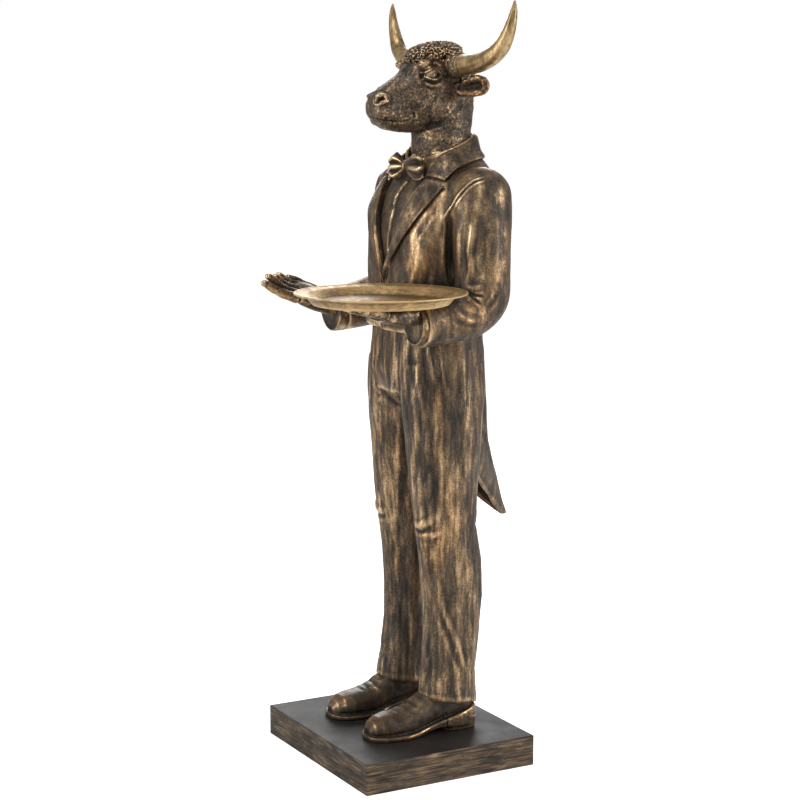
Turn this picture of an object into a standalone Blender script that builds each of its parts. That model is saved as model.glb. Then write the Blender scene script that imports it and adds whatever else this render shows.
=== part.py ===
"""A bull-headed waiter in a tailcoat, a round tray on his left hand: a cast statue on a block plinth.

Metres, +Z up. The origin is the centre of the plinth's underside. The figure faces -Y,
and its left hand is at +X.
"""

import math

import bmesh
import bpy
from mathutils import Matrix, Vector

# Driving dimensions
PLINTH_WIDTH = 0.418
PLINTH_DEPTH = 0.364
PLINTH_HEIGHT = 0.059
PLINTH_EDGE = 0.0015
FIGURE_HEIGHT = 1.394
TRAY_RIM_RADIUS = 0.156
TRAY_FLANGE_WIDTH = 0.0195
TRAY_FLANGE_RISE = 0.003
TRAY_BASE_RADIUS = 0.1215
TRAY_DEPTH = 0.0224
TRAY_WALL = 0.0055
SEAT_GAP = 0.0003
REMESH_SIZE = 0.0038
FIGURE_TRIANGLES = 7600

# The carving is drawn in whole units, 1394 of them from the soles to the higher horn tip
DRAWN_HEIGHT = 1394
UNIT = FIGURE_HEIGHT / DRAWN_HEIGHT
GROUND = PLINTH_HEIGHT + SEAT_GAP
TRAY_SEAT = 848
TRAY_CENTRE = (194, -143)
LEFT = 1
RIGHT = -1
RING_POINTS = 28


def at(x, y, z):
    """A point of the carving, in metres above the plinth."""
    return Vector((x * UNIT, y * UNIT, z * UNIT + GROUND))


def signed_power(value, power):
    return math.copysign(abs(value) ** power, value)


def new_collection(name):
    collection = bpy.data.collections.new(name)
    bpy.context.scene.collection.children.link(collection)
    return collection


def add_object(name, mesh, collection):
    thing = bpy.data.objects.new(name, mesh)
    collection.objects.link(thing)
    return thing


# Rings and lofts
def level_ring(z, cx, cy, rx, ry, power=2.2):
    """A rounded ring that lies flat."""
    ring = []
    for step in range(RING_POINTS):
        angle = 2 * math.pi * step / RING_POINTS
        x = cx + rx * signed_power(math.cos(angle), 2 / power)
        y = cy + ry * signed_power(math.sin(angle), 2 / power)
        ring.append(at(x, y, z))
    return ring


def upright_ring(y, cx, low, high, low_half, high_half, power=2.4):
    """A ring that stands across the Y axis, with a half width of its own at the foot and at the top."""
    ring = []
    for step in range(RING_POINTS):
        angle = 2 * math.pi * step / RING_POINTS
        rise = signed_power(math.sin(angle), 2 / power)
        half = low_half + (high_half - low_half) * (rise + 1) / 2
        x = cx + half * signed_power(math.cos(angle), 2 / power)
        ring.append(at(x, y, (low + high) / 2 + (high - low) / 2 * rise))
    return ring


def path_rings(points, sizes, across=(1, 0, 0), power=2.0):
    """Rings square to a path. Each size is (half along across, half along the other side)."""
    places = [Vector(point) for point in points]
    side = Vector(across)
    rings = []
    for index, place in enumerate(places):
        before = places[max(index - 1, 0)]
        after = places[min(index + 1, len(places) - 1)]
        along = (after - before).normalized()
        wide = (side - side.dot(along) * along).normalized()
        deep = along.cross(wide)
        ring = []
        for step in range(RING_POINTS):
            angle = 2 * math.pi * step / RING_POINTS
            u = sizes[index][0] * signed_power(math.cos(angle), 2 / power)
            v = sizes[index][1] * signed_power(math.sin(angle), 2 / power)
            ring.append(at(*(place + wide * u + deep * v)))
        rings.append(ring)
    return rings


def loft(body, rings):
    """Adds a closed skin over the rings to a bmesh, with its faces pointing out."""
    loops = [[body.verts.new(point) for point in ring] for ring in rings]
    faces = []
    for low, high in zip(loops, loops[1:]):
        for step in range(len(low)):
            after = (step + 1) % len(low)
            faces.append(body.faces.new((low[step], low[after], high[after], high[step])))
    faces.append(body.faces.new(loops[0]))
    faces.append(body.faces.new(loops[-1]))
    bmesh.ops.recalc_face_normals(body, faces=faces)


def stack(body, rows, cx=0):
    """A loft of flat rings. Each row is (z, cy, rx, ry, power)."""
    loft(body, [level_ring(z, cx, cy, rx, ry, power) for z, cy, rx, ry, power in rows])


def limb(body, points, radii):
    loft(body, path_rings(points, [(radius, radius) for radius in radii], across=(1, 0.13, 0.07)))


def ball(body, centre, radii, turn=(0, 0, 0)):
    """An ellipsoid, turned by degrees about X, Y and Z."""
    spin = Matrix.Identity(4)
    for degrees, axis in zip(turn, "XYZ"):
        spin = Matrix.Rotation(math.radians(degrees), 4, axis) @ spin
    size = Matrix.Diagonal((*[radius * UNIT for radius in radii], 1))
    place = Matrix.Translation(at(*centre)) @ spin @ size
    bmesh.ops.create_uvsphere(body, u_segments=24, v_segments=14, radius=1, matrix=place)


def curve_points(points, count):
    """Points read from a smooth curve through the given ones."""
    marks = [Vector(point) for point in points]
    marks = [2 * marks[0] - marks[1], *marks, 2 * marks[-1] - marks[-2]]
    smooth = []
    for index in range(count):
        share = index / (count - 1) * (len(marks) - 3)
        first = min(int(share), len(marks) - 4)
        t = share - first
        a, b, c, d = marks[first:first + 4]
        smooth.append(0.5 * (2 * b + (c - a) * t + (2 * a - 5 * b + 4 * c - d) * t * t
                             + (3 * b - a - 3 * c + d) * t ** 3))
    return smooth


def taper(sizes, count):
    """Sizes spread evenly over a longer run."""
    spread = []
    for index in range(count):
        share = index / (count - 1) * (len(sizes) - 1)
        first = min(int(share), len(sizes) - 2)
        spread.append(sizes[first] + (sizes[first + 1] - sizes[first]) * (share - first))
    return spread


# The figure's forms
CHEST = [
    (772, 61, 124, 92), (800, 62, 123, 91), (850, 63, 126, 93), (900, 66, 131, 97), (955, 71, 139, 99),
    (1000, 78, 145, 98), (1035, 86, 142, 92), (1062, 92, 126, 80), (1084, 96, 104, 70), (1100, 97, 80, 62),
    (1112, 97, 64, 58),
]


def add_shoe(body, side):
    cx = 78 * side
    upper = [
        (-111, 8, 24, 13), (-104, 5, 36, 26), (-91, 4, 43, 34), (-72, 4, 47, 39), (-48, 4, 50, 41),
        (-26, 5, 57, 39), (-4, 8, 70, 36), (18, 12, 84, 33), (40, 16, 100, 33), (66, 18, 108, 34),
        (90, 16, 104, 32), (106, 16, 96, 26), (114, 20, 80, 14),
    ]
    loft(body, [upright_ring(y, cx, low, high, half, half * 0.8) for y, low, high, half in upper])
    sole = [
        (-114, 0, 9, 13), (-106, 0, 9, 29), (-92, 0, 9, 38), (-70, 0, 9, 43), (-44, 0, 9, 44),
        (-20, 1, 11, 41), (6, 6, 17, 36), (28, 10, 22, 34), (46, 9, 27, 36),
        (76, 6, 35, 38), (102, 4, 42, 34), (116, 4, 44, 19),
    ]
    loft(body, [upright_ring(y, cx, low, high, half, half, 5) for y, low, high, half in sole])
    heel = [(0, 79, 35, 36, 3.4), (24, 80, 36, 37, 3.4)]
    stack(body, heel, cx)


def add_leg(body, side):
    rows = [
        (46, 78, 66, 47, 57), (56, 78, 64, 48, 59), (84, 78, 64, 46, 58), (120, 78, 66, 45, 55),
        (190, 77, 73, 45, 58), (258, 76, 76, 47, 62), (330, 76, 71, 48, 62), (396, 75, 61, 50, 61),
        (460, 74, 58, 55, 65), (532, 72, 57, 61, 71), (600, 68, 58, 66, 78), (660, 64, 60, 68, 84),
        (715, 60, 60, 66, 84),
    ]
    rings = []
    for z, cx, cy, rx, ry in rows:
        # The right trouser leg flares forward a little over its shoe
        flare = max(0, 1 - z / 200) if side == RIGHT else 0
        rings.append(level_ring(z, cx * side - 3 * flare, cy - 6 * flare, rx + flare, ry + 2 * flare, 2.1))
    loft(body, rings)


def add_trunk(body):
    hips = [(632, 60, 40, 60, 2.2), (660, 60, 110, 86, 2.4), (700, 58, 128, 89, 2.5), (740, 58, 127, 88, 2.5),
            (785, 59, 122, 87, 2.5)]
    stack(body, hips)
    coat = [
        (z, *size, 2.9 if z < 1010 else 2.6) for z, *size in CHEST
    ]
    stack(body, coat)


def add_neck(body):
    rows = [(1060, 92, 60, 58, 2), (1110, 91, 57, 57, 2), (1150, 92, 57, 57, 2), (1190, 96, 58, 58, 2),
            (1235, 100, 56, 54, 2), (1262, 102, 44, 44, 2)]
    stack(body, rows)


def add_head(body):
    rows = [
        (-60, 1184, 1206, 16, 17), (-57, 1173, 1216, 25, 28), (-48, 1161, 1225, 31, 35),
        (-32, 1153, 1235, 33, 34), (-12, 1149, 1248, 36, 31), (5, 1147, 1260, 40, 35),
        (20, 1146, 1276, 44, 43), (38, 1146, 1292, 48, 50), (60, 1149, 1302, 52, 53),
        (85, 1158, 1307, 52, 54), (110, 1174, 1305, 48, 52), (135, 1200, 1294, 40, 45),
        (152, 1226, 1276, 22, 28),
    ]
    loft(body, [upright_ring(y, 0, *spans, 2.5) for y, *spans in rows])
    ball(body, (0, 74, 1295), (47, 58, 22), (8, 0, 0))
    for side in (LEFT, RIGHT):
        ball(body, (36 * side, 76, 1192), (26, 38, 38), (0, 0, 0))
        ball(body, (40 * side, 36, 1271), (12, 19, 10), (-10, 16 * side, 18 * side))
        ball(body, (44 * side, 46, 1253), (15, 18, 13), (0, 0, 12 * side))
        ball(body, (22 * side, -47, 1209), (15, 13, 14), (20, 0, 0))
        add_horn(body, side)
        add_ear(body, side)


def add_horn(body, side):
    rise = 0 if side == LEFT else 9
    marks = [(30, 92, 1272), (60, 96, 1271), (95, 98, 1271), (129, 101, 1275), (163, 104, 1286),
             (193, 107, 1304), (211, 109, 1327 + rise * 0.3), (222, 110, 1350 + rise * 0.6),
             (227, 111, 1368 + rise), (228, 112, 1385 + rise)]
    radii = [19, 20, 19.5, 18.5, 17.5, 15, 12, 9, 6, 1.8]
    points = [(x * side, y, z) for x, y, z in curve_points(marks, 26)]
    limb(body, points, taper(radii, 26))


def add_ear(body, side):
    marks = [(50, 96, 1226), (66, 103, 1229), (86, 111, 1233), (101, 117, 1235), (113, 122, 1235),
             (120, 125, 1235)]
    sizes = [(9, 10), (9, 16), (8, 21), (7, 21), (6, 15), (4, 6)]
    points = [(x * side, y, z) for x, y, z in marks]
    loft(body, path_rings(points, sizes, across=(0.35 * side, -1, -0.2)))


def add_arm(body, side):
    shoulder_to_wrist = {
        LEFT: [(140, 92, 1032), (152, 91, 1010), (155, 90, 950), (158, 91, 890), (161, 86, 848),
               (162, 60, 822), (165, 12, 811), (170, -52, 804)],
        RIGHT: [(-140, 92, 1032), (-152, 91, 1010), (-155, 90, 950), (-158, 91, 890), (-161, 84, 848),
                (-163, 54, 822), (-166, 12, 809), (-170, -38, 800)],
    }[side]
    sizes = [(50, 54), (55, 59), (53, 56), (51, 52), (50, 53), (48, 50), (46, 46), (43, 44)]
    points = curve_points(shoulder_to_wrist, 22)
    rings = path_rings(points, list(zip(taper([s[0] for s in sizes], 22), taper([s[1] for s in sizes], 22))))
    loft(body, rings)
    ball(body, (144 * side, 94, 1034), (60, 58, 52), (0, 16 * side, 0))
    ball(body, (122 * side, 93, 1050), (82, 52, 27), (0, 21 * side, 0))
    x, y, z = shoulder_to_wrist[-1]
    reach = 37 if side == LEFT else 43
    cuff = [(x, y + 20, z), (x, y, z), (x, y - 20, z)]
    loft(body, path_rings(cuff, [(reach, reach), (reach, reach), (reach - 1, reach - 1)]))


def add_hand(body, side):
    """An open hand, palm up. The left one lies flat under the tray, the right one curls outward."""
    if side == LEFT:
        palm = [(174, -52, 820), (174, -76, 821), (171, -98, 822), (170, -122, 824), (171, -140, 827)]
        fingers = [
            ((198, -132, 829), (199, -160, 836), (199, -186, 842)),
            ((182, -130, 829), (183, -166, 836), (184, -200, 842)),
            ((166, -130, 829), (166, -166, 836), (166, -198, 842)),
            ((151, -132, 829), (150, -162, 836), (149, -188, 842)),
        ]
        thumb = [(152, -80, 822), (136, -108, 829), (131, -138, 834)]
        across = (1, 0, 0)
    else:
        palm = [(-167, -44, 804), (-170, -66, 811), (-174, -88, 820), (-177, -110, 829), (-177, -130, 836)]
        fingers = [
            ((-154, -139, 826), (-155, -172, 838), (-158, -207, 858)),
            ((-168, -133, 832), (-167, -164, 845), (-165, -195, 870)),
            ((-183, -126, 840), (-183, -152, 849), (-180, -174, 867)),
            ((-197, -119, 846), (-198, -141, 854), (-195, -159, 869)),
        ]
        thumb = [(-192, -72, 828), (-205, -104, 847), (-206, -138, 864)]
        across = (-0.82, 0.35, 0.42)
    loft(body, path_rings(palm, [(22, 17), (24, 18), (32, 17), (36, 15), (33, 12)], across, 2.6))
    for marks in fingers:
        limb(body, curve_points(marks, 9), taper([11, 10, 8.6, 6], 9))
    limb(body, curve_points(thumb, 9), taper([14, 11, 9, 6], 9))


def add_tails(body):
    """The coat's skirt: it hugs the hips, then narrows to one point that hangs clear behind the knees."""
    rows = [
        (792, 62, 125, 97, -27), (760, 62, 127, 99, -25), (720, 62, 130, 102, -22), (680, 62, 131, 104, -19),
        (645, 62, 130, 106, -16), (605, 63, 125, 108, -9), (560, 67, 115, 112, 1), (525, 76, 102, 116, 10),
        (490, 97, 82, 109, 16), (460, 127, 60, 91, 20), (432, 163, 38, 65, 24), (406, 195, 20, 44, 30),
        (390, 210, 9, 36, 40),
    ]
    count = 18
    rings = []
    for z, cy, rx, ry, start in rows:
        outer = []
        inner = []
        for step in range(count):
            angle = math.radians(start + (180 - 2 * start) * step / (count - 1))
            thick = 10 if 0 < step < count - 1 else 7
            outer.append(at(rx * math.cos(angle), cy + ry * math.sin(angle), z))
            inner.append(at((rx - thick) * math.cos(angle), cy + (ry - thick) * math.sin(angle), z))
        rings.append(outer + inner[::-1])
    loft(body, rings)


def add_collar(body):
    """The shirt's stand and the coat's turned collar, both higher at the back of the neck."""
    stand = [(1082, 88, 62, 60), (1098, 89, 64, 63), (1124, 90, 64, 64)]
    count = RING_POINTS
    rings = []
    for z, cy, rx, ry in stand:
        ring = []
        for step in range(count):
            angle = 2 * math.pi * step / count
            slope = 14 * math.sin(angle)
            ring.append(at(rx * math.cos(angle), cy + ry * math.sin(angle), z + slope))
        rings.append(ring)
    loft(body, rings)
    coat = [(1074, 96, 78, 84), (1088, 96, 73, 80), (1102, 95, 68, 75), (1113, 94, 66, 71),
            (1117, 94, 62, 66)]
    rings = []
    for z, cy, rx, ry in coat:
        ring = []
        for step in range(count):
            angle = 2 * math.pi * step / count
            slope = 20 * math.sin(angle)
            ring.append(at(rx * math.cos(angle), cy + ry * math.sin(angle), z + slope))
        rings.append(ring)
    loft(body, rings)


def add_bow_tie(body):
    ball(body, (0, 11, 1081), (10, 11, 13))
    for side in (LEFT, RIGHT):
        points = [(4 * side, 13, 1081), (22 * side, 11, 1082), (42 * side, 13, 1082), (57 * side, 21, 1081)]
        loft(body, path_rings(points, [(8, 8), (11, 18), (12, 26), (7, 25)], across=(0, 1, 0), power=2.6))


def add_lapels(body):
    """A thin turned panel on each side of the chest, from the collar's notch down to the closing point."""
    outline = [(1092, 52, 66), (1052, 30, 104), (1010, 26, 88), (960, 22, 66), (915, 17, 44), (880, 12, 22)]
    for side in (LEFT, RIGHT):
        rings = []
        for z, inner, outer in outline:
            front = chest_front(z)
            ring = []
            for share in (0, 0.25, 0.5, 0.75, 1):
                x = inner + (outer - inner) * share
                ring.append(at(x * side, front(x) - 6, z))
            for share in (1, 0.75, 0.5, 0.25, 0):
                x = inner + (outer - inner) * share
                ring.append(at(x * side, front(x) + 6, z))
            rings.append(ring)
        loft(body, rings)


def chest_front(z):
    """The chest's front surface at a height: a function from x to y."""
    low = max((row for row in CHEST if row[0] <= z), key=lambda row: row[0])
    high = min((row for row in CHEST if row[0] > z), key=lambda row: row[0])
    share = (z - low[0]) / (high[0] - low[0])
    cy, rx, ry = (low[i] + (high[i] - low[i]) * share for i in (1, 2, 3))
    power = 2.9 if z < 1010 else 2.6
    return lambda x: cy - ry * max(1 - abs(x / rx) ** power, 0) ** (1 / power)


def build_figure(collection):
    body = bmesh.new()
    for side in (LEFT, RIGHT):
        add_shoe(body, side)
        add_leg(body, side)
        add_arm(body, side)
        add_hand(body, side)
    add_trunk(body)
    add_neck(body)
    add_head(body)
    add_tails(body)
    add_collar(body)
    add_lapels(body)
    add_bow_tie(body)
    mesh = bpy.data.meshes.new("figure")
    body.to_mesh(mesh)
    body.free()
    figure = add_object("figure", mesh, collection)
    remesh = figure.modifiers.new("one_casting", "REMESH")
    remesh.mode = "VOXEL"
    remesh.voxel_size = REMESH_SIZE
    smooth = figure.modifiers.new("soften", "SMOOTH")
    smooth.factor = 0.5
    smooth.iterations = 3
    bpy.context.view_layer.update()
    solid = bpy.data.meshes.new_from_object(figure.evaluated_get(bpy.context.evaluated_depsgraph_get()))
    figure.modifiers.clear()
    figure.data = solid
    press_flat(solid)
    lighten = figure.modifiers.new("lighten", "DECIMATE")
    lighten.ratio = FIGURE_TRIANGLES / (2 * len(solid.polygons))
    return figure


def press_flat(mesh):
    """Flattens the soles where they stand, and follows the tray's underside where something lies under it."""
    seat = at(0, 0, TRAY_SEAT).z
    centre = at(*TRAY_CENTRE, 0)
    slope = TRAY_DEPTH / (TRAY_RIM_RADIUS - TRAY_BASE_RADIUS) * 0.5
    for vertex in mesh.vertices:
        co = vertex.co
        co.z = max(co.z, GROUND)
        reach = math.hypot(co.x - centre.x, co.y - centre.y)
        ceiling = seat + max(reach - TRAY_BASE_RADIUS, 0) * slope
        if reach < TRAY_RIM_RADIUS + 0.004 and ceiling < co.z < ceiling + 0.03:
            co.z = ceiling


def build_plinth(collection):
    body = bmesh.new()
    size = Matrix.Diagonal((PLINTH_WIDTH, PLINTH_DEPTH, PLINTH_HEIGHT, 1))
    bmesh.ops.create_cube(body, size=1, matrix=Matrix.Translation((0, 0, PLINTH_HEIGHT / 2)) @ size)
    mesh = bpy.data.meshes.new("plinth")
    body.to_mesh(mesh)
    body.free()
    plinth = add_object("plinth", mesh, collection)
    edge = plinth.modifiers.new("worn_edge", "BEVEL")
    edge.width = PLINTH_EDGE
    edge.segments = 2
    return plinth


def build_tray(collection):
    """A turned tray: a flat floor, a sloping wall and a broad flange with a small outer bead."""
    rim = TRAY_DEPTH
    mouth = TRAY_RIM_RADIUS - TRAY_FLANGE_WIDTH
    profile = [
        (0, TRAY_WALL), (TRAY_BASE_RADIUS - TRAY_WALL * 1.6, TRAY_WALL), (mouth, rim - TRAY_FLANGE_RISE),
        (TRAY_RIM_RADIUS - 0.003, rim), (TRAY_RIM_RADIUS, rim - 0.0015), (TRAY_RIM_RADIUS, rim - 0.0035),
        (mouth + 0.001, rim - TRAY_FLANGE_RISE - 0.004), (TRAY_BASE_RADIUS, 0.001),
        (TRAY_BASE_RADIUS - 0.002, 0), (0, 0),
    ]
    body = bmesh.new()
    line = [body.verts.new((radius, 0, height)) for radius, height in profile]
    for first, second in zip(line, line[1:]):
        body.edges.new((first, second))
    mesh = bpy.data.meshes.new("tray")
    body.to_mesh(mesh)
    body.free()
    tray = add_object("tray", mesh, collection)
    tray.location = (*at(*TRAY_CENTRE, 0).xy, at(0, 0, TRAY_SEAT).z + SEAT_GAP)
    turn = tray.modifiers.new("turn", "SCREW")
    turn.steps = turn.render_steps = 56
    turn.use_merge_vertices = True
    turn.merge_threshold = 0.0001
    return tray


def give_material(thing, name, colour, roughness, metallic):
    material = bpy.data.materials.new(name)
    material.use_nodes = True
    shader = material.node_tree.nodes["Principled BSDF"]
    shader.inputs["Base Color"].default_value = (*colour, 1)
    shader.inputs["Roughness"].default_value = roughness
    shader.inputs["Metallic"].default_value = metallic
    thing.data.materials.clear()
    thing.data.materials.append(material)


def main():
    for thing in list(bpy.data.objects):
        bpy.data.objects.remove(thing)
    collection = new_collection("bull_waiter_statue")
    figure = build_figure(collection)
    figure.data.shade_smooth()
    give_material(figure, "bronze_figure", (0.12, 0.085, 0.055), 0.45, 0.7)
    give_material(build_plinth(collection), "bronze_plinth", (0.07, 0.06, 0.05), 0.55, 0.5)
    give_material(build_tray(collection), "gold_tray", (0.42, 0.30, 0.15), 0.4, 0.8)


main()
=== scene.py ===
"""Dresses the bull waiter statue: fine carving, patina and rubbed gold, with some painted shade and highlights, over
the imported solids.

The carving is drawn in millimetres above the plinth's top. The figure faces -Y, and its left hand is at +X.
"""

import math

import bmesh
import bpy
import numpy as np
from mathutils import Matrix, Vector
from mathutils.bvhtree import BVHTree


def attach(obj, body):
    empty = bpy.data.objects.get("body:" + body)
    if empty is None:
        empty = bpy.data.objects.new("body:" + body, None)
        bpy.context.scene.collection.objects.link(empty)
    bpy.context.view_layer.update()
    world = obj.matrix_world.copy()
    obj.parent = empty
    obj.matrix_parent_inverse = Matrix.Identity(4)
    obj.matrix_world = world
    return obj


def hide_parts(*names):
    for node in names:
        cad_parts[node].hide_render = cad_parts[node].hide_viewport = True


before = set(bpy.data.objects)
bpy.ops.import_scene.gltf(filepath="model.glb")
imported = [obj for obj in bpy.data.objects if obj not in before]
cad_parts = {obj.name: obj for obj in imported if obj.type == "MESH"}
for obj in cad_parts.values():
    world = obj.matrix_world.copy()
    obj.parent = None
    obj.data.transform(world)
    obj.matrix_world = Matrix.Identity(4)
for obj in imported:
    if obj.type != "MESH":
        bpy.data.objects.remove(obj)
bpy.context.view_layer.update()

GROUND = 0.0593
LEFT = 1
RIGHT = -1
RING_POINTS = 36
EYE = Vector((3337, -1834.5, 1241.4))
TRAY_CENTRE = (194, -143)
TRAY_SEAT = 848
COARSE = 1.0


def at(x, y, z):
    return Vector((x / 1000, y / 1000, z / 1000 + GROUND))


def signed_power(value, power):
    return math.copysign(abs(value) ** power, value)


# Rings and lofts, as in the solids
def level_ring(z, cx, cy, rx, ry, power=2.2, slope=0.0):
    ring = []
    for step in range(RING_POINTS):
        angle = 2 * math.pi * step / RING_POINTS
        x = cx + rx * signed_power(math.cos(angle), 2 / power)
        y = cy + ry * signed_power(math.sin(angle), 2 / power)
        ring.append(at(x, y, z - slope * math.sin(angle)))
    return ring


def upright_ring(y, cx, low, high, low_half, high_half, power=2.4):
    ring = []
    for step in range(RING_POINTS):
        angle = 2 * math.pi * step / RING_POINTS
        rise = signed_power(math.sin(angle), 2 / power)
        half = low_half + (high_half - low_half) * (rise + 1) / 2
        x = cx + half * signed_power(math.cos(angle), 2 / power)
        ring.append(at(x, y, (low + high) / 2 + (high - low) / 2 * rise))
    return ring


def path_rings(points, sizes, across=(1, 0, 0), power=2.0):
    places = [Vector(point) for point in points]
    side = Vector(across)
    rings = []
    for index, place in enumerate(places):
        before = places[max(index - 1, 0)]
        after = places[min(index + 1, len(places) - 1)]
        along = (after - before).normalized()
        wide = (side - side.dot(along) * along).normalized()
        deep = along.cross(wide)
        ring = []
        for step in range(RING_POINTS):
            angle = 2 * math.pi * step / RING_POINTS
            u = sizes[index][0] * signed_power(math.cos(angle), 2 / power)
            v = sizes[index][1] * signed_power(math.sin(angle), 2 / power)
            ring.append(at(*(place + wide * u + deep * v)))
        rings.append(ring)
    return rings


def loft(body, rings):
    loops = [[body.verts.new(point) for point in ring] for ring in rings]
    faces = []
    for low, high in zip(loops, loops[1:]):
        for step in range(len(low)):
            after = (step + 1) % len(low)
            faces.append(body.faces.new((low[step], low[after], high[after], high[step])))
    faces.append(body.faces.new(loops[0]))
    faces.append(body.faces.new(loops[-1]))
    bmesh.ops.recalc_face_normals(body, faces=faces)


def stack(body, rows, cx=0):
    loft(body, [level_ring(z, cx, cy, rx, ry, power) for z, cy, rx, ry, power in rows])


def limb(body, points, radii):
    loft(body, path_rings(points, [(radius, radius) for radius in radii], across=(1, 0.13, 0.07)))


def ball(body, centre, radii, turn=(0, 0, 0)):
    spin = Matrix.Identity(4)
    for degrees, axis in zip(turn, "XYZ"):
        spin = Matrix.Rotation(math.radians(degrees), 4, axis) @ spin
    size = Matrix.Diagonal((*[radius / 1000 for radius in radii], 1))
    place = Matrix.Translation(at(*centre)) @ spin @ size
    bmesh.ops.create_uvsphere(body, u_segments=36, v_segments=20, radius=1, matrix=place)


def curve_points(points, count):
    marks = [Vector(point) for point in points]
    marks = [2 * marks[0] - marks[1], *marks, 2 * marks[-1] - marks[-2]]
    smooth = []
    for index in range(count):
        share = index / (count - 1) * (len(marks) - 3)
        first = min(int(share), len(marks) - 4)
        t = share - first
        a, b, c, d = marks[first:first + 4]
        smooth.append(0.5 * (2 * b + (c - a) * t + (2 * a - 5 * b + 4 * c - d) * t * t
                             + (3 * b - a - 3 * c + d) * t ** 3))
    return smooth


def taper(sizes, count):
    spread = []
    for index in range(count):
        share = index / (count - 1) * (len(sizes) - 1)
        first = min(int(share), len(sizes) - 2)
        spread.append(sizes[first] + (sizes[first + 1] - sizes[first]) * (share - first))
    return spread


# Main forms
def add_shoe(body, side):
    cx = 78 * side
    upper = [
        (-111, 8, 24, 13), (-104, 5, 36, 26), (-91, 4, 43, 34), (-72, 4, 47, 39), (-48, 4, 50, 41),
        (-26, 5, 57, 39), (-4, 8, 70, 36), (18, 12, 84, 33), (40, 16, 100, 33), (66, 18, 108, 34),
        (90, 16, 104, 32), (106, 16, 96, 26), (114, 20, 80, 14),
    ]
    loft(body, [upright_ring(y, cx, low, high, half, half * 0.8) for y, low, high, half in upper])
    sole = [
        (-115, 0, 10, 14), (-107, 0, 10, 30), (-92, 0, 10, 39), (-70, 0, 10, 44), (-44, 0, 10, 45),
        (-20, 1, 12, 42), (6, 6, 18, 36), (28, 10, 23, 35), (46, 9, 28, 36),
        (76, 6, 36, 38), (102, 4, 43, 34), (117, 4, 45, 20),
    ]
    loft(body, [upright_ring(y, cx, low, high, half, half, 7) for y, low, high, half in sole])
    stack(body, [(0, 79, 35, 36, 3.8), (24, 80, 36, 37, 3.8)], cx)


def add_leg(body, side):
    rows = [
        (57, 78, 65, 47, 58, 9), (62, 78, 64, 48, 59, 8), (84, 78, 64, 46, 58, 5), (120, 78, 66, 45, 55, 2),
        (190, 77, 73, 45, 58, 0), (258, 76, 76, 47, 62, 0), (330, 76, 71, 48, 62, 0), (396, 75, 61, 50, 61, 0),
        (460, 74, 58, 55, 65, 0), (532, 72, 57, 61, 71, 0), (600, 68, 58, 66, 78, 0), (660, 64, 60, 68, 84, 0),
        (715, 60, 60, 66, 84, 0),
    ]
    rings = []
    for z, cx, cy, rx, ry, slope in rows:
        flare = max(0, 1 - z / 200) if side == RIGHT else 0
        rings.append(level_ring(z, cx * side - 3 * flare, cy - 6 * flare, rx + flare, ry + 2 * flare, 2.1, slope))
    loft(body, rings)


HIPS = [(632, 60, 40, 60, 2.2), (660, 60, 110, 86, 2.4), (700, 58, 128, 89, 2.5), (740, 58, 126, 87, 2.5),
        (800, 59, 119, 84, 2.5)]
CHEST = [
    (774, 61, 124, 92), (800, 62, 123, 91), (850, 63, 126, 93), (900, 66, 131, 97), (955, 71, 139, 99),
    (1000, 78, 145, 98), (1035, 86, 142, 92), (1062, 92, 126, 80), (1084, 96, 104, 70), (1100, 97, 80, 62),
    (1112, 97, 64, 58),
]


def add_head(body):
    stack(body, [(1060, 92, 60, 58, 2), (1110, 91, 57, 57, 2), (1150, 92, 57, 57, 2), (1190, 96, 58, 58, 2),
                 (1235, 100, 56, 54, 2), (1262, 102, 44, 44, 2)])
    rows = [
        (-60, 1184, 1206, 16, 17), (-57, 1173, 1216, 25, 28), (-48, 1161, 1225, 31, 35), (-32, 1153, 1235, 33, 34),
        (-12, 1149, 1248, 36, 31), (5, 1147, 1260, 40, 35), (20, 1146, 1276, 44, 43), (38, 1146, 1292, 48, 50),
        (60, 1149, 1301, 52, 53), (85, 1158, 1306, 52, 54), (110, 1174, 1304, 48, 52), (135, 1200, 1293, 40, 45),
        (152, 1226, 1275, 22, 28),
    ]
    loft(body, [upright_ring(y, 0, low, high, low_half, high_half, 2.5) for y, low, high, low_half, high_half in rows])
    ball(body, (0, 74, 1293), (47, 58, 22), (8, 0, 0))
    for side in (LEFT, RIGHT):
        ball(body, (36 * side, 76, 1192), (26, 38, 38))
        ball(body, (40 * side, 36, 1271), (12, 19, 10), (-10, 16 * side, 18 * side))
        ball(body, (43 * side, 46, 1253), (14, 18, 13), (0, 0, 12 * side))
        ball(body, (22 * side, -47, 1209), (15, 13, 14) if side == LEFT else (12, 11, 11), (20, 0, 0))
        add_ear(body, side)
        ball(body, (58 * side, 94, 1271), (26, 25, 24))


def add_ear(body, side):
    marks = [(50, 96, 1226), (66, 103, 1229), (86, 111, 1233), (101, 117, 1235), (113, 122, 1235), (120, 125, 1235)]
    sizes = [(9, 10), (10, 16), (9, 20), (8, 20), (7, 15), (4, 6)]
    points = [(x * side, y, z) for x, y, z in marks]
    loft(body, path_rings(points, sizes, across=(0.35 * side, -1, -0.2)))


ARMS = {
    LEFT: [(140, 92, 1032), (152, 91, 1010), (155, 90, 950), (158, 91, 890), (161, 86, 848),
           (162, 60, 822), (165, 12, 811), (170, -54, 804)],
    RIGHT: [(-140, 92, 1032), (-152, 91, 1010), (-155, 90, 950), (-158, 91, 890), (-161, 84, 848),
            (-163, 54, 822), (-166, 12, 809), (-170, -38, 800)],
}


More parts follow.
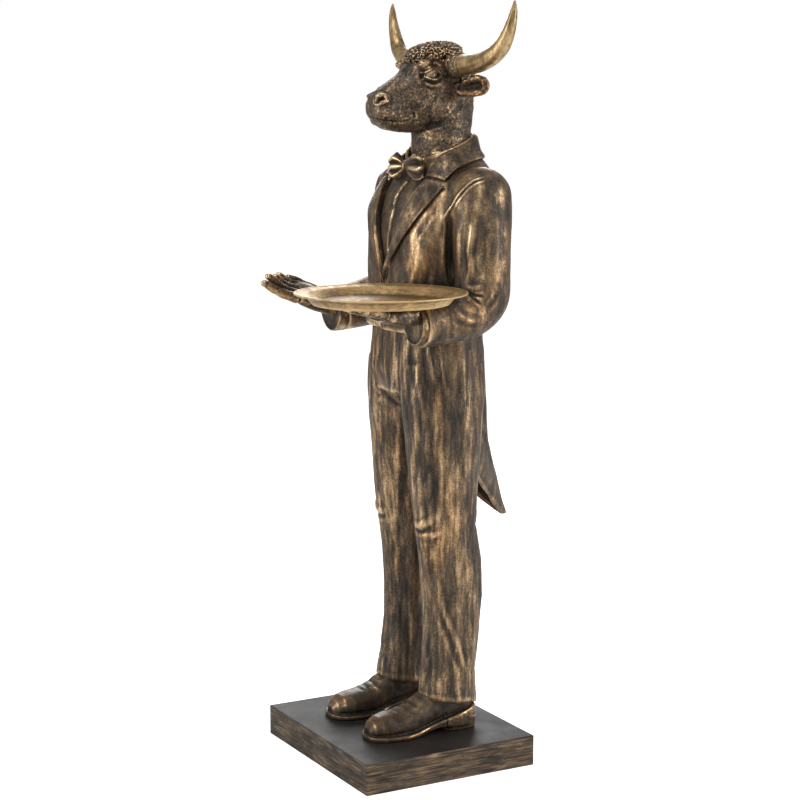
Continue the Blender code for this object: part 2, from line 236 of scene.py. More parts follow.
def add_arm(body, side):
    sizes = [(50, 54), (55, 59), (53, 56), (51, 52), (50, 53), (48, 50), (46, 46), (43, 44)]
    points = curve_points(ARMS[side], 30)
    loft(body, path_rings(points, list(zip(taper([s[0] for s in sizes], 30), taper([s[1] for s in sizes], 30)))))
    ball(body, (144 * side, 94, 1034), (60, 58, 52), (0, 16 * side, 0))
    ball(body, (122 * side, 93, 1050), (82, 52, 27), (0, 21 * side, 0))


PALMS = {
    LEFT: [(174, -52, 820), (174, -76, 821), (171, -98, 822), (170, -122, 824), (171, -140, 827)],
    RIGHT: [(-167, -44, 804), (-170, -66, 811), (-174, -88, 820), (-177, -110, 829), (-177, -130, 836)],
}
FINGERS = {
    LEFT: [((198, -132, 829), (199, -160, 836), (199, -186, 842)), ((182, -130, 829), (183, -166, 836), (184, -200, 842)),
           ((166, -130, 829), (166, -166, 836), (166, -198, 842)), ((151, -132, 829), (150, -162, 836), (149, -188, 842))],
    RIGHT: [((-154, -139, 826), (-155, -172, 838), (-158, -207, 858)),
            ((-168, -133, 832), (-167, -164, 845), (-165, -195, 870)),
            ((-183, -126, 840), (-183, -152, 849), (-180, -174, 867)),
            ((-197, -119, 846), (-198, -141, 854), (-195, -159, 869))],
}
THUMBS = {LEFT: [(152, -80, 822), (136, -108, 829), (131, -138, 834)],
          RIGHT: [(-192, -72, 828), (-205, -104, 847), (-206, -138, 864)]}
ACROSS = {LEFT: (1, 0, 0), RIGHT: (-0.82, 0.35, 0.42)}


def add_hand(body, side):
    loft(body, path_rings(PALMS[side], [(22, 17), (24, 18), (32, 17), (36, 15), (33, 12)], ACROSS[side], 2.6))
    for marks in FINGERS[side]:
        limb(body, curve_points(marks, 17), [11, 10.6, 10.3, 10, 9.7, 9.5, 9.7, 10, 9.7, 9.2, 8.9, 8.8, 9, 8.8, 8.2, 7.2, 4.5])
        ball(body, marks[-1], (7.4, 8, 7))
    limb(body, curve_points(THUMBS[side], 15), taper([14, 12, 10, 10, 6], 15))


def add_tails(body):
    rows = [
        (792, 62, 125, 97, -27), (760, 62, 127, 99, -25), (720, 62, 130, 102, -22), (680, 62, 131, 104, -19),
        (645, 62, 130, 106, -16), (605, 63, 125, 108, -9), (560, 67, 115, 112, 1), (525, 76, 102, 116, 10),
        (490, 97, 82, 109, 16), (460, 127, 60, 91, 20), (432, 163, 38, 65, 24), (406, 195, 20, 44, 30),
        (390, 210, 9, 36, 40),
    ]
    count = 40
    rings = []
    for z, cy, rx, ry, start in rows:
        outer = []
        inner = []
        for step in range(count):
            angle = math.radians(start + (180 - 2 * start) * step / (count - 1))
            thick = 9 if 1 < step < count - 2 else 6
            outer.append(at(rx * math.cos(angle), cy + ry * math.sin(angle), z))
            inner.append(at((rx - thick) * math.cos(angle), cy + (ry - thick) * math.sin(angle), z))
        rings.append(outer + inner[::-1])
    loft(body, rings)


# Carving
def lattice(points, scale, seed):
    """Smooth noise between -1 and 1. scale is one length or one for each axis."""
    spots = points / np.asarray(scale, float)
    cell = np.floor(spots).astype(np.int64)
    part = spots - cell
    part = part * part * (3 - 2 * part)
    total = np.zeros(len(points))
    for corner in range(8):
        step = np.array([corner & 1, corner >> 1 & 1, corner >> 2 & 1])
        spot = cell + step
        code = (spot[:, 0] * 374761393 + spot[:, 1] * 668265263 + spot[:, 2] * 974634777 + seed * 144665) & 0x7FFFFFFF
        code = ((code ^ (code >> 13)) * 1274126177) & 0x7FFFFFFF
        value = ((code ^ (code >> 16)) & 0xFFFF) / 32767.5 - 1
        total += value * np.prod(np.where(step, part, 1 - part), axis=1)
    return total


def ease(low, high, value):
    share = np.clip((value - low) / (high - low), 0, 1)
    return share * share * (3 - 2 * share)


class Skin:
    """A dense skin over the forms, kept as arrays in millimetres while it is carved."""

    def __init__(self, name, forms, voxel, soften=2):
        body = bmesh.new()
        for form in forms:
            form(body)
        mesh = bpy.data.meshes.new(name)
        body.to_mesh(mesh)
        body.free()
        draft = bpy.data.objects.new(name + "_draft", mesh)
        bpy.context.scene.collection.objects.link(draft)
        remesh = draft.modifiers.new("skin", "REMESH")
        remesh.mode = "VOXEL"
        remesh.voxel_size = voxel * COARSE / 1000
        bpy.context.view_layer.update()
        self.mesh = bpy.data.meshes.new_from_object(draft.evaluated_get(bpy.context.evaluated_depsgraph_get()))
        bpy.data.objects.remove(draft)
        self.mesh.name = name
        self.name = name
        self.read()
        self.relax(soften)

    def read(self):
        count = len(self.mesh.vertices)
        self.co = np.empty(count * 3)
        self.mesh.vertices.foreach_get("co", self.co)
        self.co = self.co.reshape(-1, 3) * 1000
        self.co[:, 2] -= GROUND * 1000
        pairs = np.empty(len(self.mesh.edges) * 2, np.int64)
        self.mesh.edges.foreach_get("vertices", pairs)
        self.pairs = pairs.reshape(-1, 2)
        ends = self.pairs.ravel()
        self.degree = np.maximum(np.bincount(ends, minlength=count), 1)[:, None]

    def write(self):
        places = self.co.copy()
        places[:, 2] += GROUND * 1000
        self.mesh.vertices.foreach_set("co", (places / 1000).ravel())
        self.mesh.update()

    def normals(self, rounds=1):
        self.write()
        normal = np.empty(len(self.co) * 3)
        self.mesh.vertex_normals.foreach_get("vector", normal)
        normal = self.mean(normal.reshape(-1, 3), rounds)
        return normal / np.maximum(np.linalg.norm(normal, axis=1), 1e-9)[:, None]

    def mean(self, values, rounds=1, share=0.5):
        first, second = self.pairs.T
        count = len(values)
        for _ in range(rounds):
            around = np.stack([
                np.bincount(first, values[second, i], count) + np.bincount(second, values[first, i], count)
                for i in range(values.shape[1])
            ], axis=1) / self.degree
            values = values + (around - values) * share
        return values

    def relax(self, rounds, weight=None):
        smooth = self.mean(self.co, rounds)
        weight = 1 if weight is None else weight[:, None]
        self.co = self.co + (smooth - self.co) * weight

    def push(self, amount, rounds=1):
        self.co = self.co + self.normals(rounds) * amount[:, None]

    def tree(self):
        self.write()
        self.mesh.calc_loop_triangles()
        corners = np.empty(len(self.mesh.loop_triangles) * 3, np.int32)
        self.mesh.loop_triangles.foreach_get("vertices", corners)
        return BVHTree.FromPolygons(self.co.tolist(), corners.reshape(-1, 3).tolist())

    def lay(self, tree, line, sight=True):
        """The line's points moved onto the surface, along the photograph's line of sight where that meets it."""
        marks = curve_points(line, 3 * len(line) - 2) if len(line) > 2 else [Vector(m) for m in line]
        laid = []
        for mark in marks:
            side = -1 if mark.x < -1 else 1
            spot = Vector((mark.x * side, mark.y, mark.z))
            place = tree.ray_cast(EYE, (spot - EYE).normalized())[0] if sight else None
            if place is None or (place - spot).length > 24:
                place = tree.find_nearest(spot)[0]
            laid.append((place.x * side, place.y, place.z))
        return np.array(laid)

    def near(self, marks, reach):
        """Distance from each point to a line of marks, and the share of the way along it."""
        box = np.all((self.co > marks.min(0) - reach) & (self.co < marks.max(0) + reach), axis=1)
        found = np.flatnonzero(box)
        here = self.co[found]
        best = np.full(len(found), 1e9)
        along = np.zeros(len(found))
        spans = np.maximum(np.linalg.norm(np.diff(marks, axis=0), axis=1), 1e-6)
        start = 0.0
        for a, b, span in zip(marks, marks[1:], spans):
            t = np.clip(((here - a) @ (b - a)) / (span * span), 0, 1)
            gap = np.linalg.norm(here - a - t[:, None] * (b - a), axis=1)
            closer = gap < best
            best[closer] = gap[closer]
            along[closer] = (start + t[closer] * span) / spans.sum()
            start += span
        return found, best, along

    def strokes(self, rows, facing=None, sight=True):
        """Each row is (line, width, depth, ends): a rounded ridge, or with a negative depth a groove."""
        amount = np.zeros(len(self.co))
        tree = self.tree()
        for line, width, depth, ends in rows:
            found, gap, along = self.near(self.lay(tree, line, sight), width)
            shape = np.clip(1 - (gap / width) ** 2, 0, 1) ** 2
            if ends:
                shape *= np.clip(along / ends, 0, 1) * np.clip((1 - along) / ends, 0, 1)
            amount[found] += depth * shape
        normal = self.normals(2)
        if facing is not None:
            amount *= ease(0.0, 0.35, normal @ np.asarray(facing, float))
        self.co = self.co + normal * amount[:, None]

    def line_mask(self, rows):
        """How near each point lies to any of the (line, width) rows, from 0 to 1."""
        share = np.zeros(len(self.co))
        tree = self.tree()
        for line, width in rows:
            found, gap, _ = self.near(self.lay(tree, line), width)
            share[found] = np.maximum(share[found], ease(1, 0.2, gap / width))
        return share

    def pairs_of(self, rows):
        """The same strokes on both sides."""
        both = []
        for line, width, depth, ends in rows:
            both.append((line, width, depth, ends))
            both.append(([(-x, y, z) for x, y, z in line], width, depth, ends))
        return both

    def finish(self, material, node="figure", fine=0.3, broad=2.5, tone=None):
        """Stores how far each point stands out or lies in a hollow, and makes the piece."""
        normal = self.normals(1)
        marks = {}
        for name, rounds, size in (("edge", 4, fine), ("form", 30, broad)):
            stand = np.sum((self.co - self.mean(self.co, rounds)) * normal, axis=1)
            marks[name] = np.clip(0.5 + 0.5 * self.mean(stand[:, None], 1)[:, 0] / size, 0, 1)
        if tone is not None:
            marks["tone"] = tone
        self.write()
        for name, values in marks.items():
            layer = self.mesh.attributes.new(name, "FLOAT", "POINT")
            layer.data.foreach_set("value", values.astype(np.float32))
        self.mesh.shade_smooth()
        return add_piece(self.name, self.mesh, material, node)


def add_piece(name, mesh, material, node):
    piece = bpy.data.objects.new(name, mesh)
    bpy.context.scene.collection.objects.link(piece)
    mesh.materials.clear()
    mesh.materials.append(material)
    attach(piece, "root")
    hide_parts(node)
    return piece


def grid_mesh(name, rows, closed=False, caps=False):
    """A mesh over rows of points. closed joins each row's end to its start; caps close the first and last row."""
    body = bmesh.new()
    loops = [[body.verts.new(at(*point)) for point in row] for row in rows]
    for low, high in zip(loops, loops[1:]):
        width = len(low)
        for step in range(width if closed else width - 1):
            after = (step + 1) % width
            body.faces.new((low[step], low[after], high[after], high[step]))
    if caps:
        body.faces.new(loops[0])
        body.faces.new(loops[-1])
    bmesh.ops.recalc_face_normals(body, faces=body.faces[:])
    mesh = bpy.data.meshes.new(name)
    body.to_mesh(mesh)
    body.free()
    mesh.shade_smooth()
    return mesh


def shape_marks(mesh, fine=0.3, broad=2.0):
    """The same marks for a mesh built directly."""
    skin = Skin.__new__(Skin)
    skin.mesh = mesh
    skin.read()
    normal = skin.normals(1)
    for name, rounds, size in (("edge", 3, fine), ("form", 14, broad)):
        stand = np.sum((skin.co - skin.mean(skin.co, rounds)) * normal, axis=1)
        layer = mesh.attributes.new(name, "FLOAT", "POINT")
        layer.data.foreach_set("value", np.clip(0.5 + 0.5 * stand / size, 0, 1).astype(np.float32))


# Materials
class Nodes:
    def __init__(self, name):
        self.material = bpy.data.materials.new(name)
        self.material.use_nodes = True
        self.tree = self.material.node_tree
        self.shader = self.tree.nodes["Principled BSDF"]
        self.place = self.tree.nodes.new("ShaderNodeTexCoord").outputs["Object"]

    def link(self, source, target):
        if isinstance(source, (int, float)):
            target.default_value = source
        else:
            self.tree.links.new(source, target)

    def noise(self, scale, size, detail=4.0, rough=0.6, distortion=0.0):
        mapping = self.tree.nodes.new("ShaderNodeMapping")
        mapping.inputs["Scale"].default_value = scale
        self.link(self.place, mapping.inputs["Vector"])
        noise = self.tree.nodes.new("ShaderNodeTexNoise")
        noise.inputs["Scale"].default_value = size
        noise.inputs["Detail"].default_value = detail
        noise.inputs["Roughness"].default_value = rough
        noise.inputs["Distortion"].default_value = distortion
        self.link(mapping.outputs["Vector"], noise.inputs["Vector"])
        return noise.outputs["Fac"]

    def mark(self, name):
        node = self.tree.nodes.new("ShaderNodeAttribute")
        node.attribute_name = name
        return node.outputs["Fac"]

    def math(self, kind, first, second=0.0, third=None, clamp=False):
        node = self.tree.nodes.new("ShaderNodeMath")
        node.operation = kind
        node.use_clamp = clamp
        self.link(first, node.inputs[0])
        self.link(second, node.inputs[1])
        if third is not None:
            self.link(third, node.inputs[2])
        return node.outputs[0]

    def step(self, value, low, high, out_low=0.0, out_high=1.0):
        node = self.tree.nodes.new("ShaderNodeMapRange")
        node.interpolation_type = "SMOOTHSTEP"
        self.link(value, node.inputs["Value"])
        node.inputs["From Min"].default_value = low
        node.inputs["From Max"].default_value = high
        node.inputs["To Min"].default_value = out_low
        node.inputs["To Max"].default_value = out_high
        return node.outputs["Result"]

    def blend(self, share, first, second):
        node = self.tree.nodes.new("ShaderNodeMix")
        node.data_type = "RGBA"
        self.link(share, node.inputs["Factor"])
        for value, socket in ((first, node.inputs[6]), (second, node.inputs[7])):
            if isinstance(value, tuple):
                socket.default_value = (*value, 1)
            else:
                self.link(value, socket)
        return node.outputs[2]

    def ramp(self, value, stops):
        node = self.tree.nodes.new("ShaderNodeValToRGB")
        marks = node.color_ramp.elements
        while len(marks) < len(stops):
            marks.new(0.5)
        for mark, (place, colour) in zip(marks, stops):
            mark.position = place
            mark.color = (*colour, 1)
        self.link(value, node.inputs["Fac"])
        return node.outputs["Color"]

    def bump(self, height, distance, strength=1.0):
        node = self.tree.nodes.new("ShaderNodeBump")
        node.inputs["Strength"].default_value = strength
        node.inputs["Distance"].default_value = distance
        self.link(height, node.inputs["Height"])
        self.link(node.outputs["Normal"], self.shader.inputs["Normal"])


PATINA = [
    (0.00, (0.0100, 0.0070, 0.0048)),
    (0.28, (0.0310, 0.0223, 0.0152)),
    (0.46, (0.0760, 0.0542, 0.0365)),
    (0.60, (0.1620, 0.1090, 0.0640)),
    (0.76, (0.3420, 0.2270, 0.1230)),
    (1.00, (0.6300, 0.4620, 0.2850)),
]


WARM = [
    (0.00, (0.0120, 0.0072, 0.0040)),
    (0.28, (0.0370, 0.0222, 0.0125)),
    (0.46, (0.0950, 0.0520, 0.0250)),
    (0.60, (0.2150, 0.1080, 0.0430)),
    (0.76, (0.4200, 0.2200, 0.0820)),
    (1.00, (0.6800, 0.4300, 0.2050)),
]


def bronze(name, grain=(60, 60, 60), amount=0.0, spread=1.0, edge_gain=1.0, form_gain=0.8, speck=0.5, speck_size=380,
           rough=0.42, relief=0.0004, warmth=0.40):
    """Dark patina with gold rubbed over what stands out, in brush strokes along the grain."""
    n = Nodes(name)
    strokes = n.noise(grain, 1.0, 6, 0.62, 0.3)
    patches = n.noise((grain[0] * 0.25, grain[1] * 0.25, grain[2] * 0.4), 1.0, 3, 0.55, 0.4)
    specks = n.noise((speck_size, speck_size, speck_size), 1.0, 2, 0.6)
    value = n.math("MULTIPLY", n.math("SUBTRACT", strokes, 0.5), 1.5 * spread)
    value = n.math("ADD", value, n.math("MULTIPLY", n.math("SUBTRACT", patches, 0.5), 1.5 * spread))
    value = n.math("ADD", value, n.math("MULTIPLY", n.math("SUBTRACT", n.mark("edge"), 0.5), edge_gain))
    value = n.math("ADD", value, n.math("MULTIPLY", n.math("SUBTRACT", n.mark("form"), 0.5), form_gain))
    value = n.math("ADD", value, n.math("MULTIPLY", n.math("SUBTRACT", specks, 0.5), speck))
    # The tone mark adds real tone changes and, on some pieces, painted shade and painted highlights.
    value = n.math("ADD", value, n.mark("tone"))
    value = n.math("ADD", value, 0.5 + amount)
    warm = n.step(n.noise((10, 10, 6), 1.0, 3, 0.55), 0.47, 0.64, 0.0, warmth)
    n.link(n.blend(warm, n.ramp(value, PATINA), n.ramp(value, WARM)), n.shader.inputs["Base Color"])
    n.link(n.step(value, 0.35, 0.75, 0.30, 0.85), n.shader.inputs["Metallic"])
    n.link(n.step(value, 0.2, 0.9, rough + 0.08, rough - 0.08), n.shader.inputs["Roughness"])
    n.shader.inputs["Specular IOR Level"].default_value = 0.28
    height = n.math("ADD", n.math("MULTIPLY", specks, 0.5), strokes)
    n.bump(height, relief)
    return n.material


CLOTH = bronze("patina_cloth", (70, 70, 26), -0.02, 0.72, 0.45, 0.34, 0.55)
TROUSER = bronze("patina_trousers", (120, 120, 20), -0.055, 0.74, 0.4, 0.32, 0.6, rough=0.44)
TAIL = bronze("patina_tails", (100, 100, 20), -0.09, 0.6, 0.3, 0.25)
FACE = bronze("patina_head", (120, 120, 120), -0.09, 0.5, 0.55, 0.45, 0.9, 330, 0.42, 0.0008, 0.75)
HANDS = bronze("patina_hands", (90, 90, 90), -0.07, 0.7, 0.6, 0.5, rough=0.38)
SHOES = bronze("patina_shoes", (40, 40, 50), -0.19, 0.45, 0.38, 0.40, 0.2, rough=0.34, relief=0.0002)
TRIM = bronze("patina_trim", (75, 75, 40), -0.05, 0.75, 0.5, 0.3, 0.6)

BOW = bronze("patina_bow_tie", (75, 75, 60), 0.0, 0.5, 0.6, 0.5, 0.5, rough=0.36)


def satin_gold(name, grain, stops, rough=0.36, form_gain=0.3, edge_gain=0.4):
    n = Nodes(name)
    lines = n.noise(grain, 1.0, 5, 0.6, 0.2)
    patches = n.noise((22, 22, 22), 1.0, 4, 0.6)
    value = n.math("ADD", n.math("SUBTRACT", lines, 0.5), n.math("SUBTRACT", patches, 0.5))
    value = n.math("ADD", value, n.math("MULTIPLY", n.math("SUBTRACT", n.mark("form"), 0.5), form_gain))
    value = n.math("ADD", value, n.math("MULTIPLY", n.math("SUBTRACT", n.mark("edge"), 0.5), edge_gain))
    # The tone mark holds painted light and shade on the tray's outer wall.
    value = n.math("ADD", value, n.mark("tone"))
    n.link(n.ramp(n.math("ADD", value, 0.5), stops), n.shader.inputs["Base Color"])
    n.shader.inputs["Metallic"].default_value = 0.85
    n.link(n.step(lines, 0.3, 0.7, rough + 0.08, rough - 0.05), n.shader.inputs["Roughness"])
    n.bump(lines, 0.0002)
    return n.material


HORN = satin_gold("horn_gold", (120, 120, 30), [(0.15, (0.062, 0.041, 0.020)), (0.42, (0.200, 0.132, 0.062)),
                                               (0.60, (0.380, 0.262, 0.128)), (0.85, (0.600, 0.440, 0.235))])
TRAY = satin_gold("tray_gold", (90, 90, 320), [(0.15, (0.130, 0.084, 0.043)), (0.42, (0.275, 0.180, 0.083)),
                                               (0.58, (0.415, 0.272, 0.118)), (0.82, (0.590, 0.415, 0.200))], 0.50)


# Coat: body, sleeves and shoulders in one skin
ROLL = [(872, 0), (885, 5), (908, 14), (935, 26), (963, 38), (990, 46), (1014, 53), (1036, 61), (1058, 71),
        (1080, 70), (1100, 63)]


PLACKET = [(5, 17, 1057), (3, 8, 1046), (0, -6, 1024), (-1, -12, 994), (-3, -19, 964), (-6, -23, 935), (-8, -30, 903),
           (-7, -32, 880)]
SEAM = [(181, 79, 1069), (176, 60, 1063), (171, 50, 1055), (164, 42, 1044), (154, 37, 1033), (140, 35, 1017), (136, 27, 1003)]


def coat_forms(body):
    stack(body, [(z, *size, 2.9 if z < 1010 else 2.6) for z, *size in CHEST])
    add_arm(body, LEFT)
    add_arm(body, RIGHT)


def carve_coat(coat):
    x, y, z = coat.co.T
    front = ease(0.1, 0.5, -coat.normals(3)[:, 1]) * (np.abs(x) < 100)
    half = np.interp(z, [r[0] for r in ROLL], [r[1] for r in ROLL])
    opening = ease(-9, -4, half - np.abs(x)) * ease(866, 880, z) * front
    coat.push(-8.0 * opening, 3)
    coat.strokes(coat.pairs_of([
        ([(181, 79, 1069), (176, 60, 1063), (171, 50, 1055), (164, 42, 1044), (154, 37, 1033), (140, 35, 1017),
          (136, 27, 1003), (133, 20, 990)], 3.4, 2.0, 0.08),
        ([(184, 80, 1062), (180, 61, 1056), (174, 51, 1048), (167, 43, 1036), (156, 38, 1024), (144, 36, 1009)], 3.2, 1.6,
         0.1),
        ([(182, 79, 1066), (178, 60, 1060), (173, 50, 1052), (166, 42, 1040), (155, 37, 1028), (142, 35, 1013),
          (136, 26, 996)], 2.6, -1.8, 0.06),
        ([(137, 30, 1006), (137, 30, 980), (135, 31, 950), (131, 34, 915), (127, 37, 868)], 8, -6.5, 0.22),
        ([(134, 30, 970), (129, 33, 930), (126, 36, 890)], 13, -2.5, 0.3),
        ([(193, 52, 1001), (192, 51, 983), (189, 47, 956), (186, 46, 934), (187, 48, 915), (187, 48, 897),
          (184, 46, 880), (179, 42, 871)], 11, 4.2, 0.3),
        ([(200, 72, 1000), (199, 68, 956), (198, 68, 915), (195, 66, 885)], 12, -2.4, 0.3),
        ([(166, 34, 1000), (166, 34, 950), (164, 34, 900), (160, 34, 876)], 12, 1.8, 0.3),
        ([(205, 110, 1000), (204, 112, 940), (203, 112, 890)], 16, 1.8, 0.3),
        ([(150, 140, 1010), (152, 142, 950), (156, 140, 890)], 18, -2.4, 0.3),
        ([(183, 40, 862), (198, 50, 855), (207, 66, 853)], 5, -3.6, 0.25),
        ([(189, 41, 859), (201, 48, 849), (208, 59, 838)], 4.5, -2.4, 0.25),
        ([(178, 39, 868), (197, 53, 869), (204, 66, 874)], 8, 2.0, 0.3),
        ([(193, 45, 856), (202, 52, 853), (209, 62, 847)], 4, 0.8, 0.3),
        ([(186, 34, 851), (200, 44, 843), (209, 58, 832)], 6, 0.7, 0.3),
        ([(199, 10, 839), (208, 19, 827), (210, 37, 819), (209, 57, 814)], 9, -0.8, 0.3),
        ([(203, 0, 832), (210, 14, 818), (213, 34, 809), (211, 55, 806)], 9, 0.7, 0.3),
        ([(209, -13, 820), (210, 16, 805), (206, 48, 800), (203, 73, 801)], 8, -0.8, 0.3),
        ([(196, 100, 866), (205, 88, 846), (207, 66, 826)], 9, -2.0, 0.3),
        ([(136, 27, 1003), (130, 17, 986), (125, 10, 968), (119, 3, 945)], 10, 1.0, 0.3),
        ([(124, 19, 1017), (113, 0, 991), (97, -12, 965), (81, -20, 940)], 9, -1.4, 0.3),
        ([(116, 17, 1026), (129, 16, 999), (127, 13, 975)], 10, 1.2, 0.35),
        ([(118, 6, 930), (112, -2, 890), (108, -6, 850), (104, -8, 815)], 12, -1.8, 0.3),
        ([(96, -14, 915), (86, -20, 875), (76, -24, 835), (70, -24, 800)], 12, 1.6, 0.3),
    ]))
    # The left front laps over the right one, down to a rounded corner at the waist
    coat.strokes([
        ([(-2, -40, 868), (-10, -38, 850), (-15, -36, 825), (-17, -34, 800), (-15, -32, 784), (-8, -31, 774)], 3.4, -3, 0),
        ([(3, -40, 868), (-5, -38, 850), (-10, -36, 825), (-12, -34, 800), (-10, -32, 786)], 4, 1.6, 0),
        (PLACKET, 3.8, 3.4, 0.02),
        ([(0, 17, 1057), (-2, 8, 1046), (-5, -6, 1024), (-6, -12, 994), (-8, -19, 964), (-11, -23, 935),
          (-12, -30, 903)], 2.6, -1.8, 0.02),
    ])
    # The fronts end in a thin rolled edge at the waist, and the right one stands off
    x, y, z = coat.co.T
    ahead = ease(0, -12, y) * (np.abs(x) < 96)
    coat.push(6 * ahead * ease(812, 778, z) * ease(-8, -30, x) + 0.8 * ahead * ease(6, 1, np.abs(z - 779)), 2)
    coat.co[:, 2] += 9 * ahead * ease(812, 776, z) * ease(-8, -22, x)
    # Back seams and the hollow between the shoulder blades
    coat.strokes(coat.pairs_of([
        ([(110, 130, 1040), (88, 160, 980), (62, 166, 900), (48, 160, 830), (40, 156, 780)], 4, -2, 0.03),
        ([(60, 168, 1030), (58, 176, 990), (50, 176, 950)], 26, 4, 0.3),
    ]) + [([(0, 170, 1090), (0, 176, 1000), (0, 170, 900), (0, 158, 790)], 4, -2.2, 0.03),
          ([(0, 172, 1060), (0, 178, 1000), (0, 170, 900)], 22, -3, 0.3)])
    drape = lattice(coat.co, (34, 34, 90), 3) * 0.6 + lattice(coat.co, (15, 15, 30), 5) * 0.3
    coat.push(drape * (1 - 0.8 * opening) + lattice(coat.co, 5, 8) * 0.12, 2)
    x, y, z = coat.co.T
    tone = -0.05 * opening + 0.30 * coat.line_mask([(PLACKET, 3.6)]) + 0.10 * coat.line_mask([(SEAM, 3)])
    # Painted shadow: the coat's front is painted darker just above the tray, where the tray and the waist throw shade.
    tone -= 0.22 * ease(1, 0.4, np.hypot((x - 104) / 40, (z - 866) / 17)) * ease(50, 30, y)
    tone += 0.06 * ease(1, 0.2, np.hypot((y + 5) / 40, (z - 795) / 26)) * (x > 180)
    # Painted highlight: the chest is painted lighter beside the arm groove, where the light grazes.
    tone += 0.09 * ease(75, 20, np.hypot(x - 108, (z - 970) * 0.6)) * ease(60, 20, y)
    # Painted shadow: the coat is painted dark round the hollow behind the near wing of the tie.
    tone -= 0.35 * ease(30, 12, np.linalg.norm(coat.co - (54, 20, 1064), axis=1))
    tone += 0.06 * lattice(coat.co, (30, 30, 60), 9) - 0.15 * ease(784, 779, z) * ease(10, 30, y)
    tone -= 0.10 * ease(110, 140, np.abs(x)) * ease(900, 860, z) * ease(70, 30, y)
    return tone


def hold_under_tray(skin):
    """Keeps the hand and sleeve just below the tray's underside."""
    x, y, z = skin.co.T
    reach = np.hypot(x - TRAY_CENTRE[0], y - TRAY_CENTRE[1])
    ceiling = TRAY_SEAT + np.maximum(reach - 121, 0) * 0.26 - 0.2
    under = (reach < 160) & (z > ceiling) & (z < ceiling + 40)
    skin.co[under, 2] = ceiling[under]


# Lapels and collars are separate panels laid on the coat
def surface_of(*skins):
    trees = []
    for skin in skins:
        skin.write()
        places = [tuple(p) for p in skin.co]
        skin.mesh.calc_loop_triangles()
        corners = np.empty(len(skin.mesh.loop_triangles) * 3, np.int32)
        skin.mesh.loop_triangles.foreach_get("vertices", corners)
        trees.append(BVHTree.FromPolygons(places, corners.reshape(-1, 3).tolist()))
    return trees[0]


def panel(name, surface, inner, outer, lifts, thick, count=90, across=26, bulge=0.0, material=None):
    """A turned panel between two edges, standing off the surface by the lifts across its width."""
    first = curve_points(inner, count)
    last = curve_points(outer, count)
    rows = []
    for a, b in zip(first, last):
        top = []
        under = []
        for step in range(across):
            share = step / (across - 1)
            spot = a.lerp(b, share)
            place, normal, _, gap = surface.find_nearest(spot)
            if (spot - place).dot(normal) > 0 or gap < 14:
                base = place
            else:
                base = spot
            lift = np.interp(share, [s for s, _ in lifts], [h for _, h in lifts])
            lift += bulge * math.sin(math.pi * share)
            top.append(base + normal * lift)
            under.append(base + normal * (lift - thick))
        rows.append(top + under[::-1])
    # One smoothing pass takes out the small steps of the surface below
    grid = np.array([[tuple(p) for p in row] for row in rows])
    for _ in range(6):
        mid = (grid[:-2] + grid[2:]) / 2
        grid[1:-1] = grid[1:-1] * 0.5 + mid * 0.5
    mesh = grid_mesh(name, grid.tolist(), closed=True, caps=True)
    round_edges(mesh)
    shape_marks(mesh)
    shade_beside_tie(mesh)
    return add_piece(name, mesh, material or TRIM, "figure")


def shade_beside_tie(mesh):
    """A painted shadow: the tone is painted dark in the hollow behind the near wing of the tie, darkest nearest the
    tie.
    """
    hollow = at(62, 18, 1066)
    tones = mesh.attributes.new("tone", "FLOAT", "POINT")
    for vertex, value in zip(mesh.vertices, tones.data):
        value.value = -0.4 * float(ease(26, 10, (vertex.co - hollow).length * 1000))


def round_edges(mesh, width=0.0011):
    draft = bpy.data.objects.new("rounding", mesh)
    bpy.context.scene.collection.objects.link(draft)
    bevel = draft.modifiers.new("edge", "BEVEL")
    bevel.width = width
    bevel.segments = 3
    bevel.limit_method = "ANGLE"
    bevel.angle_limit = math.radians(50)
    bpy.context.view_layer.update()
    new = bpy.data.meshes.new_from_object(draft.evaluated_get(bpy.context.evaluated_depsgraph_get()))
    bpy.data.objects.remove(draft)
    body = bmesh.new()
    body.from_mesh(new)
    body.to_mesh(mesh)
    body.free()
    mesh.shade_smooth()


def add_lapels(surface):
    inner = [(0, -36, 872), (5, -36, 886), (14, -36, 908), (26, -35, 935), (38, -31, 963), (46, -24, 990),
             (53, -13, 1014), (61, 1, 1036), (72, 18, 1060)]
    outer = [(-6, -36, 866), (0, -35, 876), (14, -35, 893), (35, -35, 916), (60, -29, 946), (85, -16, 979),
             (104, 0, 1008), (113, 17, 1031), (116, 34, 1049)]
    lifts = [(0, 3), (0.05, 5.5), (0.14, 7.4), (0.3, 8.0), (0.6, 6.4), (0.85, 6.2), (1, 7.0)]
    for side, name in ((LEFT, "lapel_left"), (RIGHT, "lapel_right")):
        heights = lifts if side == LEFT else [(share, 2.5 + 0.5 * lift) for share, lift in lifts]
        panel(name, surface, [(x * side, y, z) for x, y, z in inner], [(x * side, y, z) for x, y, z in outer],
              heights, 3.4)


